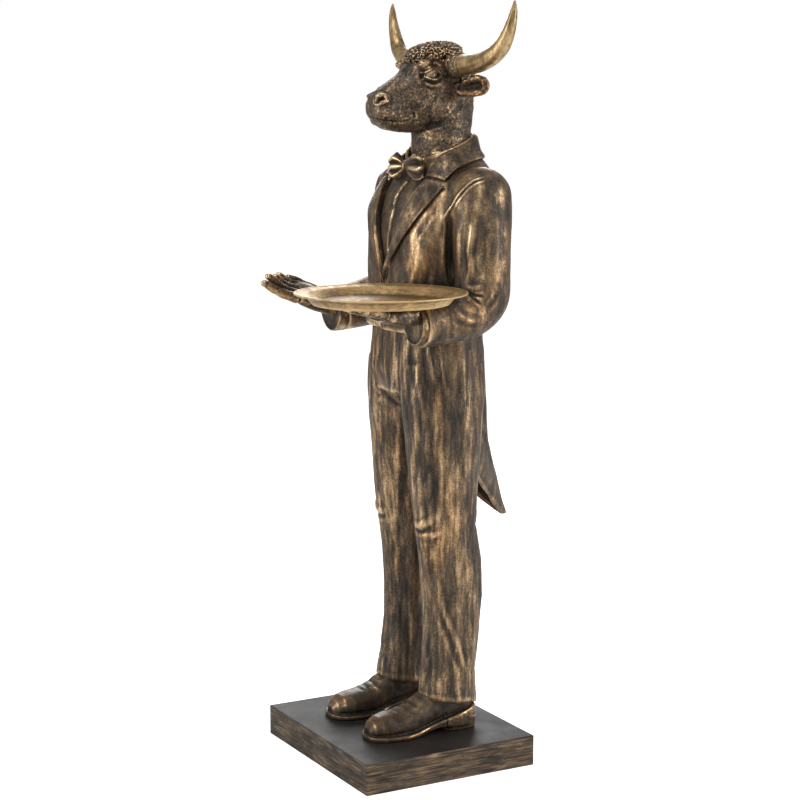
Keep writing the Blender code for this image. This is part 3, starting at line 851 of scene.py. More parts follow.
def add_collar(surface):
    """The coat's turned collar runs from one notch round the nape to the other."""
    inner = [(70, 24, 1062), (68, 25, 1077), (66, 32, 1092), (66, 53, 1105), (66, 84, 1117), (61, 118, 1130),
             (47, 141, 1137), (25, 154, 1140), (0, 158, 1140)]
    outer = [(109, 38, 1059), (113, 48, 1066), (109, 66, 1079), (102, 88, 1090), (92, 112, 1095), (75, 136, 1096),
             (54, 152, 1096), (29, 164, 1096), (0, 168, 1096)]
    inner += [(-x, y, z) for x, y, z in inner[-2::-1]]
    outer += [(-x, y, z) for x, y, z in outer[-2::-1]]
    count = 200
    across = 22
    first = curve_points(inner, count)
    last = curve_points(outer, count)
    rows = []
    for a, b in zip(first, last):
        out = (b - a).normalized()
        top = []
        under = []
        for step in range(across):
            share = step / (across - 1)
            spot = a.lerp(b, share)
            rise = float(np.interp(share, (0, 0.06, 0.2, 0.6, 1), (1.5, 4.5, 6.0, 4.6, 3.6)))
            up = Vector((out.x * 0.5, out.y * 0.5, 1)).normalized()
            place, normal, _, gap = surface.find_nearest(spot)
            if (spot - place).dot(normal) < 4.5:
                spot = place + normal * 4.5
            top.append(spot + up * rise)
            under.append(spot + up * (rise - 4.5))
        rows.append(top + under[::-1])
    grid = np.array([[tuple(p) for p in row] for row in rows])
    for _ in range(8):
        grid[1:-1] = grid[1:-1] * 0.5 + (grid[:-2] + grid[2:]) / 4
    mesh = grid_mesh("collar", grid.tolist(), closed=True, caps=True)
    round_edges(mesh)
    shape_marks(mesh)
    shade_beside_tie(mesh)
    add_piece("collar", mesh, TRIM, "figure")
    # The shirt's stand round the neck, higher at the back
    rows = []
    for step in range(121):
        angle = 2 * math.pi * step / 120
        back = (math.sin(angle) + 1) / 2
        top = 1098 + 50 * back + 12 * float(ease(-0.15, -0.6, math.cos(angle))) * (1 - back * back)
        ring = []
        for radius, drop in ((62, 46), (64.5, 44), (65.5, 20), (65, 4), (63.5, 0.6), (61, 0), (59, 1.5), (58, 8), (58, 46)):
            ring.append((radius * math.cos(angle), 90 + (radius + 1) * math.sin(angle), top - drop))
        rows.append(ring)
    mesh = grid_mesh("shirt_stand", rows, closed=True)
    shape_marks(mesh, 0.5, 6.0)
    add_piece("shirt_stand", mesh, TRIM, "figure")


def add_bow_tie():
    """Two pleated wings fanned from a small knot, the near one turned back round the neck."""
    wings = (
        ("bow_wing_left", (4, 17, 1084), (48, 29, 1082), ((0, 0.25, 0.5, 0.8, 1), (8, 18, 24, 24, 18)), 2.0, 0.9, 5.4),
        ("bow_wing_right", (-3, 17, 1084), (-43, 9, 1081), ((0, 0.35, 0.68, 0.88, 1), (8, 21, 28, 20, 7)), 3.0, 0, 3.6),
    )
    for name, root, end, (shares, heights), pleats, shift, deep in wings:
        root = Vector(root)
        end = Vector(end)
        out = Vector(((end - root).y, -(end - root).x, 0)).normalized()
        if out.y > 0:
            out = -out
        rows = []
        pleat_light_and_shade = []
        for i in range(48):
            u = i / 47
            tall = float(np.interp(u, shares, heights))
            cap = math.sqrt(max(1 - max((u - 0.82) / 0.18, 0) ** 2, 0.004))
            ring = []
            for j in range(96):
                angle = 2 * math.pi * j / 96
                v = signed_power(math.sin(angle), 0.85)
                wave = math.cos(math.pi * pleats * v + shift)
                thick = (4.0 + 4.5 * u ** 0.7) * cap * (1 - 0.3 * v * v)
                depth = signed_power(math.cos(angle), 0.7) * thick + deep * wave * min(u * 1.6, 1) * cap
                reach = u + 0.04 * wave * u ** 2
                spot = root.lerp(end, reach) + out * (depth + 3)
                # Painted light and shade: the crests of the pleats are painted lighter and their folds darker.
                pleat_light_and_shade.append(0.16 * wave * min(u * 1.6, 1))
                ring.append((spot.x, spot.y, spot.z + v * tall))
            rows.append(ring)
        grid = np.array(rows)
        for _ in range(3):
            grid[1:-1] = grid[1:-1] * 0.5 + (grid[:-2] + grid[2:]) / 4
        mesh = grid_mesh(name, grid.tolist(), closed=True, caps=True)
        shape_marks(mesh)
        mesh.attributes.new("tone", "FLOAT", "POINT").data.foreach_set("value", pleat_light_and_shade)
        add_piece(name, mesh, BOW, "figure")
    rows = []
    for i in range(25):
        angle = math.pi * i / 24
        ring = []
        for j in range(48):
            turn = 2 * math.pi * j / 48
            swell = 1 + 0.07 * math.cos(6 * turn)
            radius = math.sin(angle) ** 0.6
            ring.append((7 * radius * math.cos(turn) * swell, 15 + 9 * radius * math.sin(turn) * swell,
                         1085 - 9 * math.cos(angle)))
        rows.append(ring)
    mesh = grid_mesh("bow_knot", rows, closed=True, caps=True)
    shape_marks(mesh)
    add_piece("bow_knot", mesh, BOW, "figure")


def add_cuffs():
    """Each shirt cuff stands out of the sleeve's end, with a shallow hollow round the wrist."""
    for side, name, reach, long in ((LEFT, "cuff_left", 38, 9), (RIGHT, "cuff_right", 43, 22)):
        x, y, z = ARMS[side][-1]
        profile = [(14, reach - 5), (2, reach - 0.6), (-2, reach - 0.2), (4 - long, reach), (1.4 - long, reach - 0.4),
                   (-long, reach - 1.8), (0.2 - long, reach - 3.0), (1.8 - long, reach - 4.4), (2.6 - long, reach - 7),
                   (2.8 - long, reach - 12), (2.6 - long, 12), (2.6 - long, 0.01)]
        rows = []
        for step in range(121):
            angle = 2 * math.pi * (step % 120) / 120
            wave = 1 + 0.018 * math.sin(3 * angle + side)
            rows.append([(x + r * wave * math.cos(angle), y + out, z + r * wave * math.sin(angle)) for out, r in profile])
        mesh = grid_mesh(name, rows)
        weld(mesh)
        close_rims(mesh)
        shape_marks(mesh, 0.6, 9.0)
        tones = mesh.attributes.new("tone", "FLOAT", "POINT")
        for vertex, value in zip(mesh.vertices, tones.data):
            inward = vertex.co.y * 1000 > y + 2 - long
            near = math.hypot(vertex.co.x * 1000 - x, (vertex.co.z - GROUND) * 1000 - z) < reach - 6
            value.value = 0.05 if near and inward else -0.08
        add_piece(name, mesh, TRIM, "figure")


def close_rims(mesh):
    body = bmesh.new()
    body.from_mesh(mesh)
    rims = [edge for edge in body.edges if len(edge.link_faces) == 1]
    bmesh.ops.holes_fill(body, edges=rims)
    bmesh.ops.recalc_face_normals(body, faces=body.faces[:])
    body.to_mesh(mesh)
    body.free()
    mesh.shade_smooth()


def weld(mesh):
    body = bmesh.new()
    body.from_mesh(mesh)
    bmesh.ops.remove_doubles(body, verts=body.verts[:], dist=0.00001)
    bmesh.ops.recalc_face_normals(body, faces=body.faces[:])
    body.to_mesh(mesh)
    body.free()
    mesh.shade_smooth()


def add_button(name, centre, normal, radius):
    """A small domed button, with a rim, set into the cloth."""
    way = Vector(normal).normalized()
    wide = way.orthogonal().normalized()
    deep = way.cross(wide)
    rows = []
    profile = [(1, -2), (1, 0.6), (0.94, 1.3), (0.8, 1.5), (0.68, 1.1), (0.4, 1.5), (0.02, 1.7)]
    for share, lift in profile:
        ring = []
        for step in range(28):
            angle = 2 * math.pi * step / 28
            spot = Vector(centre) + way * lift + (wide * math.cos(angle) + deep * math.sin(angle)) * radius * share
            ring.append(tuple(spot))
        rows.append(ring)
    mesh = grid_mesh(name, rows, closed=True, caps=True)
    shape_marks(mesh)
    add_piece(name, mesh, TRIM, "figure")


# Head
def carve_head(head):
    # Ear cups, smooth inside with a soft rim
    head.strokes(head.pairs_of([
        ([(72, 94, 1230), (83, 98, 1231), (94, 103, 1233), (103, 108, 1235)], 14, -9.5, 0),
        ([(66, 96, 1215), (80, 100, 1212), (96, 108, 1215), (111, 116, 1225), (117, 119, 1236)], 4.5, 1.2, 0.1),
        ([(66, 92, 1244), (82, 98, 1252), (98, 105, 1253), (110, 113, 1247)], 4.5, 1.0, 0.1),
    ]), facing=(0, -1, 0))
    # Brow, lids, eye corner and bags
    head.strokes(head.pairs_of([
        ([(58, 22, 1270), (37, 42, 1279), (40, 53, 1284), (43, 67, 1281), (49, 74, 1274)], 7, 2.0, 0.2),
        ([(46, 26, 1264), (48, 34, 1269), (48, 44, 1272), (48, 54, 1271), (50, 64, 1265)], 4.0, -2.0, 0.2),
        ([(50, 27, 1256), (54, 33, 1261), (54, 43, 1264.5), (51, 54, 1262.5), (51, 63, 1255)], 3.6, 2.1, 0.15),
        ([(52, 29, 1251), (55, 37, 1247), (54, 46, 1245), (52, 56, 1247), (51, 63, 1252)], 3.2, 1.6, 0.15),
        ([(46, 28, 1245), (50, 36, 1241), (52, 46, 1239), (52, 57, 1241), (52, 66, 1247)], 3.4, -1.6, 0.2),
        ([(43, 28, 1241), (48, 36, 1236), (50, 47, 1234), (52, 59, 1236), (52, 68, 1242)], 4.0, 1.3, 0.2),
        ([(42, 27, 1235), (47, 37, 1230), (49, 48, 1228), (51, 60, 1230)], 4, -0.9, 0.3),
        ([(40, 18, 1262), (38, 18, 1254), (38, 19, 1245), (42, 23, 1235)], 5, 0.9, 0.3),
        ([(42, 24, 1257), (42, 25, 1251), (44, 27, 1247)], 4.5, -3.0, 0.15),
        ([(53, 64, 1253), (56, 70, 1251), (58, 76, 1248)], 5, -2.4, 0.15),
    ]))
    # The open part of the eye
    x, y, z = head.co.T
    slit = np.hypot((y - 45) / 17, (z - 1254) / 6.4)
    head.push(-4.0 * ease(1.15, 0.75, slit) * (np.abs(x) > 38) * (np.abs(x) < 64), 2)
    # Nostrils with a bright rim, lips, cheek and jaw
    rim = [(15, -62, 1205), (21, -61, 1214), (30, -55, 1219), (37, -46, 1218), (39, -41, 1211), (35, -47, 1203),
           (26, -56, 1199), (18, -61, 1200), (15, -62, 1205)]
    head.strokes(head.pairs_of([
        ([(22, -59, 1207), (27, -57, 1209), (33, -50, 1212)], 7.5, -12, 0),
        ([(10, -62, 1214), (18, -58, 1222), (28, -50, 1226), (36, -42, 1224)], 6, -1.0, 0.3),
        ([(30, -38, 1198), (36, -34, 1206), (38, -32, 1214)], 7, -1.4, 0.3),
        ([(2, -60, 1178), (14, -57, 1174), (24, -49, 1171), (30, -31, 1168), (33, -10, 1168), (36, 4, 1172),
          (38, 10, 1177)], 3.4, -1.5, 0.2),
        ([(3, -55, 1168), (15, -51, 1165), (24, -42, 1162), (28, -24, 1160)], 6, 1.0, 0.3),
        ([(39, 14, 1183), (40, 16, 1176), (39, 17, 1170)], 4, 2.4, 0.25),
        ([(38, 8, 1186), (39, 12, 1181), (38, 13, 1175)], 4, -2.6, 0.15),
        ([(31, 18, 1159), (34, 44, 1159), (50, 61, 1165), (58, 74, 1172), (59, 88, 1183), (57, 100, 1198),
          (60, 100, 1215)], 10, -2.6, 0.2),
        ([(62, 92, 1222), (60, 96, 1236), (60, 98, 1250)], 8, -4.0, 0.2),
        ([(48, 38, 1218), (46, 31, 1203), (43, 24, 1190), (39, 12, 1181)], 8, 1.2, 0.35),
        ([(50, 62, 1206), (52, 70, 1196), (50, 76, 1184)], 14, 1.4, 0.4),
    ]) + [([(0, -62, 1204), (0, -62, 1192), (0, -60, 1182)], 3, -1.0, 0.2), (rim, 2.8, 1.6, 0),
          ([(-x, y, z) for x, y, z in rim], 2.8, 0.3, 0)])
    x, y, z = head.co.T
    base = 1272 + 14 * np.exp(-((np.abs(x) - 46) ** 2 + (y - 45) ** 2) / 22 ** 2) - 12 * ease(62, 84, y)
    base = np.where(y > 90, base - 10 * ease(90, 130, y), base)
    hair = ease(-4, 7, z - base + 3 * lattice(head.co, 8, 14)) * (np.abs(x) < 66)
    curls = np.abs(lattice(head.co, 4.6, 11)) + 0.7 * np.abs(lattice(head.co, 2.8, 12))
    head.push(hair * (2.6 - 5.2 * curls), 2)
    calm = np.exp(-((np.abs(x) - 50) ** 2 + (y - 46) ** 2 + (z - 1254) ** 2) / 16 ** 2)
    calm = np.maximum(calm, ease(-44, -54, y))
    lumps = lattice(head.co, 14, 23) * 0.6 + lattice(head.co, 7, 24) * 0.35
    fur = lattice(head.co, 2.6, 21) * 0.38 + lattice(head.co, 4.6, 22) * 0.36
    head.push((fur + lumps) * (1 - hair) * (1 - 0.8 * calm), 1)
    x, y, z = head.co.T
    tone = hair * (-0.23 + 0.34 * ease(0.5, 0.15, curls)) + 0.09 * lattice(head.co, (22, 22, 22), 25) * (1 - hair)
    tone += 0.05 * ease(1175, 1150, z) * (y > 40) + 0.08 * ease(-50, -60, y) * ease(1222, 1214, z) * ease(1190, 1200, z)
    tone -= 0.20 * ease(18, 8, np.hypot(np.abs(x) - 88, z - 1232)) * ease(1.0, 0.2, y / 140)
    tone -= 0.16 * ease(6, 3, np.hypot(np.abs(x) - 27, z - 1209)) * (y < -30)
    return tone


def add_eyes():
    for side, name in ((LEFT, "eye_left"), (RIGHT, "eye_right")):
        rows = []
        for i in range(21):
            angle = math.pi * i / 20
            ring = []
            for j in range(36):
                turn = 2 * math.pi * j / 36
                ring.append(((45.5 + 10.5 * math.sin(angle) * math.cos(turn)) * side,
                             44 + 11.5 * math.sin(angle) * math.sin(turn), 1254 + 10 * math.cos(angle)))
            rows.append(ring)
        mesh = grid_mesh(name, rows, closed=True, caps=True)
        weld(mesh)
        shape_marks(mesh, 0.3, 2.0)
        add_piece(name, mesh, FACE, "figure")


def add_horns():
    for side, name in ((LEFT, "horn_left"), (RIGHT, "horn_right")):
        rise = 0 if side == LEFT else 9
        marks = [(40, 93, 1272), (60, 96, 1272), (95, 98, 1273), (129, 101, 1277), (163, 104, 1287),
                 (193, 107, 1304), (211, 109, 1327 + rise * 0.3), (222, 110, 1350 + rise * 0.6),
                 (227, 111, 1368 + rise), (228, 112, 1385 + rise)]
        radii = [20, 20.5, 19.5, 18.5, 17.5, 15, 12, 9, 6, 1.6]
        count = 200
        points = curve_points(marks, count)
        sizes = taper(radii, count)
        rows = []
        for index, point in enumerate(points):
            before = points[max(index - 1, 0)]
            after = points[min(index + 1, count - 1)]
            along = (after - before).normalized()
            wide = (Vector((0, 1, 0)) - along.y * along).normalized()
            deep = along.cross(wide)
            share = index / (count - 1)
            rings = math.exp(-((share - 0.07) / 0.09) ** 2) if share > 0.07 else 1
            ring = []
            for step in range(72):
                angle = 2 * math.pi * step / 72
                wave = math.sin(share * 170 + 1.1 * math.sin(2 * angle + side) + 0.6 * math.sin(3 * angle))
                ridge = 1.7 * rings * (0.5 + 0.5 * wave) + 0.2 * math.sin(11 * angle + 9 * share) * (1 - share)
                radius = sizes[index] * (1 + 0.03 * math.cos(2 * angle)) + ridge - 0.8 * rings
                spot = point + (wide * math.cos(angle) + deep * math.sin(angle)) * radius
                ring.append((spot.x * side, spot.y, spot.z))
            rows.append(ring)
        mesh = grid_mesh(name, rows, closed=True, caps=True)
        shape_marks(mesh, 0.25, 2.0)
        add_piece(name, mesh, HORN, "figure")


# Trousers, tails, shoes and hands
def trouser_forms(body):
    add_leg(body, LEFT)
    add_leg(body, RIGHT)
    stack(body, HIPS)


def carve_trousers(skin):
    rows = skin.pairs_of([
        ([(72, -26, 770), (73, -28, 720), (74, -24, 660), (76, -14, 600)], 8, 4.0, 0.2),
        ([(84, -20, 770), (85, -22, 720), (87, -18, 668)], 7, -4.0, 0.2),
        ([(95, -12, 770), (98, -14, 715), (103, -10, 655), (106, -4, 610)], 7, 4.0, 0.2),
        ([(106, -6, 768), (109, -6, 715), (113, -2, 670)], 6, -3.5, 0.2),
        ([(111, 0, 768), (115, 4, 720), (121, 12, 676)], 6, 3.0, 0.2),
        ([(56, -30, 768), (56, -32, 710), (58, -28, 660)], 7, -2.5, 0.2),
        ([(44, -32, 768), (42, -34, 715), (38, -30, 672)], 7, 2.5, 0.2),
        ([(116, 3, 612), (114, 0, 585), (113, 0, 555), (114, 4, 520)], 8, 4.5, 0.25),
        ([(124, 16, 600), (124, 12, 560), (124, 14, 510)], 8, -3.0, 0.3),
        ([(100, -6, 600), (98, -10, 550), (97, -8, 500)], 10, -2.5, 0.3),
        ([(78, -14, 560), (78, -12, 500), (79, -8, 450)], 8, 2.5, 0.3),
        ([(68, -6, 416), (82, -3, 408), (98, 4, 413), (112, 17, 426), (117, 27, 432)], 11, 5.0, 0.35),
        ([(66, -4, 402), (80, 0, 396), (96, 5, 398), (108, 14, 408)], 8, -6.0, 0.3),
        ([(100, 10, 384), (111, 18, 392), (119, 28, 402)], 8, 4.0, 0.35),
        ([(76, -2, 386), (92, 2, 380), (106, 12, 380)], 8, -1.2, 0.3),
        ([(110, 30, 300), (113, 35, 245), (119, 50, 208), (122, 65, 167), (122, 80, 125), (117, 96, 95)], 8, 3.2, 0.2),
        ([(104, 30, 240), (112, 44, 196), (117, 60, 150), (118, 78, 110)], 8, -3.0, 0.25),
        ([(96, 14, 160), (88, 9, 122), (86, 4, 84)], 7, 3.0, 0.25),
        ([(104, 18, 150), (98, 14, 118), (98, 10, 88)], 7, -2.5, 0.3),
        ([(76, 0, 140), (72, -2, 100), (66, -4, 78)], 8, 2.5, 0.3),
        ([(56, 122, 150), (70, 130, 130), (92, 124, 118), (108, 108, 112)], 6, -2.2, 0.25),
        ([(54, 126, 120), (76, 131, 104), (98, 120, 92)], 6, 2.4, 0.25),
        ([(60, 124, 420), (80, 122, 404), (104, 108, 396)], 8, -3.0, 0.3),
        ([(62, 128, 440), (84, 128, 428), (108, 112, 420)], 8, 2.5, 0.3),
    ])
    skin.strokes([(line, width * 1.15, depth * 0.55, ends) for line, width, depth, ends in rows])
    skin.strokes([(line, width * 1.2, depth * 0.28, ends) for line, width, depth, ends in [
        ([(0, -36, 770), (1, -36, 730), (0, -32, 690), (-2, -26, 655)], 4, -2.4, 0.08),
        ([(6, -37, 770), (8, -37, 730), (7, -33, 695), (0, -26, 665)], 5, 2.2, 0.1),
        ([(-62, -24, 760), (-66, -24, 725), (-62, -24, 690), (-50, -22, 661), (-36, -16, 641), (-24, -6, 625)], 7, 4.0, 0.2),
        ([(-48, -30, 760), (-52, -30, 722), (-47, -30, 688), (-34, -26, 660), (-20, -16, 641)], 6, -3.5, 0.2),
        ([(-30, -33, 757), (-36, -33, 722), (-30, -32, 688), (-18, -26, 660)], 6, 3.0, 0.2),
        ([(34, -30, 690), (24, -28, 662), (12, -18, 640)], 7, 3.0, 0.3),
        ([(44, -26, 668), (32, -20, 640), (20, -6, 622)], 6, -3.0, 0.3),
    ]])
    x, y, z = skin.co.T
    along = lattice(skin.co, (13, 13, 150), 31) * 1.5 + lattice(skin.co, (26, 26, 110), 32) * 1.6
    along += lattice(skin.co, (6, 6, 60), 33) * 0.4
    skin.push(along + lattice(skin.co, 4.5, 34) * 0.15, 2)
    hem = 64.5 - 8.5 * np.sin(np.arctan2(y - 66, np.abs(x) - 78))
    skin.push(0.5 * ease(7, 1, np.abs(z - hem - 2)), 1)
    x, y, z = skin.co.T
    tone = 0.05 * lattice(skin.co, (20, 20, 45), 35) + 0.06 * lattice(skin.co, (45, 45, 160), 36)
    tone += 0.08 * ease(46, 14, np.hypot(y - 12, z - 412)) - 0.06 * ease(90, 66, z)
    return tone


def carve_tails(skin):
    skin.strokes(skin.pairs_of([
        ([(113, 20, 780), (116, 16, 740), (121, 20, 700), (125, 25, 660), (125, 36, 620), (118, 58, 575),
          (104, 92, 530), (84, 126, 490), (58, 158, 460), (34, 190, 430), (14, 222, 398)], 6, 1.6, 0),
        ([(124, 60, 780), (128, 66, 720), (129, 70, 650), (124, 84, 590), (108, 116, 535)], 12, 3.0, 0.2),
        ([(119, 84, 780), (122, 92, 720), (122, 98, 650), (112, 118, 590), (92, 152, 530)], 12, -2.5, 0.2),
        ([(96, 124, 780), (98, 132, 720), (97, 140, 650), (86, 156, 590), (68, 180, 530), (44, 206, 480)], 14, 3.2, 0.2),
        ([(64, 146, 780), (66, 152, 720), (66, 158, 650), (58, 170, 590), (46, 192, 530)], 13, -2.5, 0.2),
        ([(36, 156, 780), (36, 162, 720), (36, 168, 650), (32, 178, 590), (26, 200, 520), (16, 220, 460)], 12, 2.5, 0.2),
    ]) + [([(0, 160, 790), (0, 165, 720), (0, 170, 650), (0, 178, 590), (0, 194, 520), (0, 214, 460), (0, 236, 410)],
           4.5, -3.0, 0.02),
          ([(5, 160, 790), (5, 165, 720), (5, 170, 650), (5, 178, 590), (5, 194, 520), (4, 214, 460)], 4, 1.8, 0.02)],
        facing=None)
    ripple = lattice(skin.co, (22, 22, 140), 41) * 1.5 + lattice(skin.co, (9, 9, 60), 42) * 0.5
    skin.push(ripple + lattice(skin.co, 4.5, 43) * 0.15, 2)


def shoe_forms(body):
    add_shoe(body, LEFT)
    add_shoe(body, RIGHT)


def carve_shoes(skin):
    def ring(height, grow):
        spots = []
        for y, half in ((112, 18), (96, 30), (66, 34), (40, 34), (14, 34), (-10, 38), (-36, 43), (-62, 43), (-86, 39),
                        (-102, 30), (-112, 15)):
            spots.append((78 + half + grow, y, height(y)))
        inside = [(156 - x, y, z) for x, y, z in spots[::-1]]
        return spots + [(78, -116 - grow, height(-112))] + inside + [(78, 118 + grow, height(112))]

    def welt(y):
        return float(np.interp(y, [-112, -44, -20, 6, 28, 46, 76, 102, 118], [11.5, 11.5, 13.5, 19.5, 24, 29, 37.5, 44, 46]))

    skin.strokes(skin.pairs_of([
        (ring(welt, -1), 3.0, -1.6, 0),
        (ring(lambda y: welt(y) - 5.5, 1), 2.6, 0.4, 0),
        ([(44, -6, 52), (60, -20, 62), (78, -25, 64), (96, -20, 61), (112, -4, 50)], 7, -1.2, 0.25),
        ([(46, 2, 60), (60, -12, 70), (78, -17, 73), (96, -12, 69), (110, 2, 58)], 8, 1.0, 0.3),
        ([(44, -22, 46), (60, -34, 54), (78, -38, 56), (96, -34, 53), (114, -20, 42)], 7, -0.8, 0.3),
        ([(46, -14, 50), (62, -28, 60), (80, -32, 61), (98, -26, 57)], 7, 0.7, 0.3),
        ([(60, -46, 50), (78, -50, 52), (98, -44, 48)], 6, -0.8, 0.3),
        ([(114, 42, 40), (114, 44, 20), (114, 44, 2)], 2.6, -1.4, 0),
    ]))
    skin.push(lattice(skin.co, 12, 51) * 0.5 + lattice(skin.co, 3.5, 52) * 0.1, 1)
    skin.co[:, 2] = np.maximum(skin.co[:, 2], 0)
    x, y, z = skin.co.T
    heel = ease(44, 48, y) * np.array([z_ < welt(y_) - 4 for y_, z_ in zip(y, z)])
    tone = 0.26 * heel * (0.6 + lattice(skin.co, 3, 53)) + 0.10 * ease(-70, -100, y) * ease(20, 30, z)
    return tone + 0.08 * ease(30, 5, np.hypot(y + 20, z - 62)) - 0.10 * (z < 9)


def hand_forms(body):
    add_hand(body, LEFT)
    add_hand(body, RIGHT)


def carve_hands(skin):
    rows = []
    for side in (LEFT, RIGHT):
        wide = Vector(ACROSS[side]).normalized()
        for marks in FINGERS[side]:
            points = curve_points(marks, 13)
            along = (points[-1] - points[0]).normalized()
            up = along.cross(wide).normalized()
            for index in (4, 8):
                spot = points[index]
                for way in (1, -1):
                    crease = [spot + wide * across + up * way * rise for across, rise in ((-8, 3), (-4, 8), (4, 8), (8, 3))]
                    rows.append(([tuple(mark) for mark in crease], 2.4, -0.8, 0.15))
        palm = [Vector(mark) for mark in PALMS[side]]
        up = (palm[-1] - palm[0]).cross(wide).normalized()
        if up.z < 0:
            up = -up
        for share, reach, depth in ((1.0, 30, -1.2), (0.7, 26, -1.4)):
            place = palm[0].lerp(palm[-1], share) + up * 16
            rows.append(([tuple(place - wide * reach), tuple(place), tuple(place + wide * reach)], 3.5, depth, 0.2))
    skin.strokes(rows, sight=False)
    skin.push(lattice(skin.co, 7, 61) * 0.3 + lattice(skin.co, 3, 62) * 0.1, 1)


# Tray and plinth
def add_tray():
    """A spun tray with a flat floor, a sloping wall, a broad flange and a rolled bead."""
    profile = [
        (0, 5.5), (60, 5.5), (108, 5.5), (111.5, 5.7), (113.5, 6.8), (118, 9.6), (124, 13.0), (130, 16.4), (134.5, 18.8),
        (136.5, 19.4), (140, 19.7), (146, 20.4), (152, 21.2), (154, 22.0), (155.2, 22.2), (156.1, 21.7), (156.4, 20.7),
        (156.0, 19.7), (154.6, 19.0), (150, 18.0), (142, 16.8), (137.5, 16.0), (135.5, 14.6), (132, 11.2), (127, 6.0),
        (124, 2.4), (122, 0.8), (119.5, 0.1), (60, 0.1), (0, 0.1),
    ]
    rows = []
    count = 240
    for step in range(count):
        angle = 2 * math.pi * step / count
        rows.append([(TRAY_CENTRE[0] + r * math.cos(angle), TRAY_CENTRE[1] + r * math.sin(angle), TRAY_SEAT + 0.3 + h)
                     for r, h in profile[1:-1]])
    rows.append(rows[0])
    mesh = grid_mesh("tray_dish", rows)
    body = bmesh.new()
    body.from_mesh(mesh)
    bmesh.ops.remove_doubles(body, verts=body.verts[:], dist=0.00001)
    rims = [edge for edge in body.edges if len(edge.link_faces) == 1]
    bmesh.ops.holes_fill(body, edges=rims)
    bmesh.ops.recalc_face_normals(body, faces=body.faces[:])
    body.to_mesh(mesh)
    body.free()
    mesh.shade_smooth()
    shape_marks(mesh, 0.5, 3.0)
    tones = mesh.attributes.new("tone", "FLOAT", "POINT")
    for vertex, value in zip(mesh.vertices, tones.data):
        reach = math.hypot(vertex.co.x - TRAY_CENTRE[0] / 1000, vertex.co.y - TRAY_CENTRE[1] / 1000) * 1000
        low = vertex.co.z - GROUND < (TRAY_SEAT + 7) / 1000
        value.value = -0.10 if low and reach < 114 else 0.06 if reach > 152 else 0.02
        # Painted light: the outer wall and the flange's underside are painted lighter towards the right of the view and
        # darker towards the left.
        if reach > 121 and vertex.normal.z < -0.1:
            across = (vertex.co.x - TRAY_CENTRE[0] / 1000) * 0.48 + (vertex.co.y - TRAY_CENTRE[1] / 1000) * 0.87
            value.value += 0.04 + 1.1 * across
    add_piece("tray_dish", mesh, TRAY, "tray")


def dress_plinth():
    """The top is plain dark satin. The sides carry gold brushed along them."""
    n = Nodes("patina_plinth")
    strokes = n.noise((16, 16, 380), 1.0, 7, 0.66, 0.3)
    patches = n.noise((20, 20, 60), 1.0, 4, 0.6, 0.5)
    geometry = n.tree.nodes.new("ShaderNodeNewGeometry")
    split = n.tree.nodes.new("ShaderNodeSeparateXYZ")
    n.link(geometry.outputs["Normal"], split.inputs[0])
    side = n.step(n.math("ABSOLUTE", split.outputs["Z"]), 0.9, 0.4)
    value = n.math("ADD", n.math("MULTIPLY", n.math("SUBTRACT", strokes, 0.5), 1.35),
                   n.math("MULTIPLY", n.math("SUBTRACT", patches, 0.5), 0.8))
    # Painted shade: the front and back faces are painted darker than the two end faces.
    value = n.math("ADD", value, n.math("MULTIPLY", n.step(n.math("ABSOLUTE", split.outputs["Y"]), 0.3, 0.8), -0.09))
    flank = n.ramp(n.math("ADD", value, 0.46), PATINA)
    top = n.ramp(n.noise((10, 10, 10), 1.0, 5, 0.6), [(0.3, (0.013, 0.011, 0.010)), (0.7, (0.024, 0.020, 0.018))])
    n.link(n.blend(side, top, flank), n.shader.inputs["Base Color"])
    rub = n.math("MULTIPLY", n.step(value, 0.0, 0.4), side)
    n.link(n.step(rub, 0.0, 1.0, 0.15, 0.8), n.shader.inputs["Metallic"])
    n.link(n.step(value, -0.4, 0.5, 0.60, 0.48), n.shader.inputs["Roughness"])
    n.shader.inputs["Specular IOR Level"].default_value = 0.22
    n.bump(n.math("ADD", strokes, n.math("MULTIPLY", n.noise((300, 300, 300), 1.0, 2, 0.6), 0.3)), 0.0003)
    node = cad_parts["plinth"]
    for slot in node.material_slots:
        slot.material = n.material
    if not node.material_slots:
        node.data.materials.append(n.material)


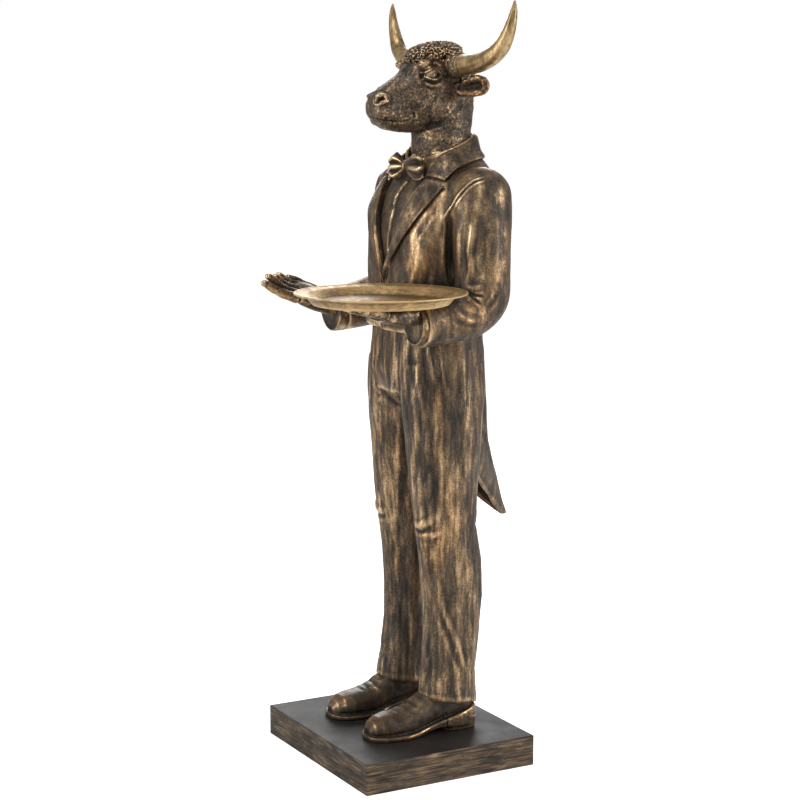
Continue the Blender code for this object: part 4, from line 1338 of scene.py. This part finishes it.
def add_stage():
    floor = bpy.data.meshes.new("floor")
    body = bmesh.new()
    bmesh.ops.create_grid(body, x_segments=1, y_segments=1, size=14)
    body.to_mesh(floor)
    body.free()
    ground = bpy.data.objects.new("floor", floor)
    bpy.context.scene.collection.objects.link(ground)
    ground.location.z = -0.0005
    paper = bpy.data.materials.new("paper")
    paper.use_nodes = True
    shader = paper.node_tree.nodes["Principled BSDF"]
    shader.inputs["Base Color"].default_value = (0.92, 0.92, 0.92, 1)
    shader.inputs["Roughness"].default_value = 0.9
    shader.inputs["Emission Color"].default_value = (1, 1, 1, 1)
    lit = paper.node_tree.nodes.new("ShaderNodeLightPath")
    share = paper.node_tree.nodes.new("ShaderNodeMath")
    share.operation = "MULTIPLY"
    share.inputs[1].default_value = 0.75
    paper.node_tree.links.new(lit.outputs["Is Camera Ray"], share.inputs[0])
    paper.node_tree.links.new(share.outputs[0], shader.inputs["Emission Strength"])
    floor.materials.append(paper)
    scene = bpy.context.scene
    scene.view_settings.view_transform = "Standard"
    world = bpy.data.worlds.new("studio")
    scene.world = world
    world.use_nodes = True
    tree = world.node_tree
    sky = tree.nodes["Background"]
    sky.inputs["Color"].default_value = (1, 1, 1, 1)
    sky.inputs["Strength"].default_value = 0.42
    paper = tree.nodes.new("ShaderNodeBackground")
    paper.inputs["Strength"].default_value = 1.0
    seen = tree.nodes.new("ShaderNodeLightPath")
    mix = tree.nodes.new("ShaderNodeMixShader")
    tree.links.new(seen.outputs["Is Camera Ray"], mix.inputs[0])
    tree.links.new(sky.outputs[0], mix.inputs[1])
    tree.links.new(paper.outputs[0], mix.inputs[2])
    tree.links.new(mix.outputs[0], tree.nodes["World Output"].inputs["Surface"])
    paper.inputs["Color"].default_value = (1, 1, 1, 1)
    for name, place, target, wide, high, power in (
        ("left_box", (-0.6, -3.2, 1.5), (0, 0, 0.8), 1.6, 2.6, 58),
        ("right_box", (2.4, 2.6, 1.5), (0, 0, 0.8), 1.6, 2.6, 78),
        ("front", (4.2, -2.6, 2.6), (0, 0, 0.8), 1.6, 1.6, 35),
        ("top", (0.6, -0.6, 3.6), (0, 0, 0.7), 2.0, 2.0, 45),
        ("back", (-3.2, 1.6, 2.0), (0, 0, 0.8), 1.8, 2.4, 60),
    ):
        data = bpy.data.lights.new(name, "AREA")
        data.energy = power
        data.shape = "RECTANGLE"
        data.size = wide
        data.size_y = high
        lamp = bpy.data.objects.new(name, data)
        scene.collection.objects.link(lamp)
        lamp.location = place
        lamp.rotation_mode = "QUATERNION"
        lamp.rotation_quaternion = (Vector(target) - Vector(place)).to_track_quat("-Z", "Y")


def add_camera():
    data = bpy.data.cameras.new("camera")
    camera = bpy.data.objects.new("camera", data)
    bpy.context.scene.collection.objects.link(camera)
    bpy.context.scene.camera = camera
    turn = math.radians(61.2)
    tilt = 0.1573
    reach = 9.764 * 0.39
    camera.location = (reach * math.sin(turn), -reach * math.cos(turn), 3.335 * 0.39)
    way = Vector((-math.sin(turn) * math.cos(tilt), math.cos(turn) * math.cos(tilt), -math.sin(tilt)))
    camera.rotation_mode = "QUATERNION"
    camera.rotation_quaternion = way.to_track_quat("-Z", "Y")
    data.sensor_width = 36
    data.lens = 2007.6 / 800 * 36
    data.shift_x = 1.3 / 800


def main():
    add_stage()
    add_camera()
    coat = Skin("coat", [coat_forms], 2.65, 4)
    x, y, z = coat.co.T
    coat.relax(40, ease(975, 1000, z) * ease(110, 130, np.abs(x)))
    surface = surface_of(coat)
    tone = carve_coat(coat)
    hold_under_tray(coat)
    coat.finish(CLOTH, tone=tone)
    add_lapels(surface)
    add_collar(surface)
    add_bow_tie()
    add_cuffs()
    head = Skin("head", [add_head], 1.5, 3)
    tone = carve_head(head)
    head.finish(FACE, fine=0.35, broad=2.2, tone=tone)
    add_eyes()
    add_horns()
    trousers = Skin("trousers", [trouser_forms], 2.95, 2)
    tone = carve_trousers(trousers)
    trousers.finish(TROUSER, tone=tone)
    tails = Skin("coat_tails", [add_tails], 2.8, 1)
    carve_tails(tails)
    tails.finish(TAIL)
    shoes = Skin("shoes", [shoe_forms], 1.85, 1)
    tone = carve_shoes(shoes)
    shoes.finish(SHOES, fine=0.25, broad=1.6, tone=tone)
    hands = Skin("hands", [hand_forms], 1.4, 2)
    carve_hands(hands)
    hold_under_tray(hands)
    hands.finish(HANDS, fine=0.22, broad=1.4)
    for name, centre, normal, radius in (
        ("button_front_1", (-4, -39, 852), (0, -1, 0), 6), ("button_front_2", (-6, -38, 815), (0, -1, 0), 6),
        ("button_cuff_1", (194, -36.8, 775.7), (0.7, 0.05, -0.7), 4), ("button_cuff_2", (194, -4, 779.6), (0.7, 0.05, -0.7), 4),
        ("button_cuff_3", (-194, -30, 774), (-0.7, 0.05, -0.7), 4), ("button_cuff_4", (-194, -2, 779), (-0.7, 0.05, -0.7), 4),
    ):
        add_button(name, centre, normal, radius)
    add_tray()
    dress_plinth()


main()
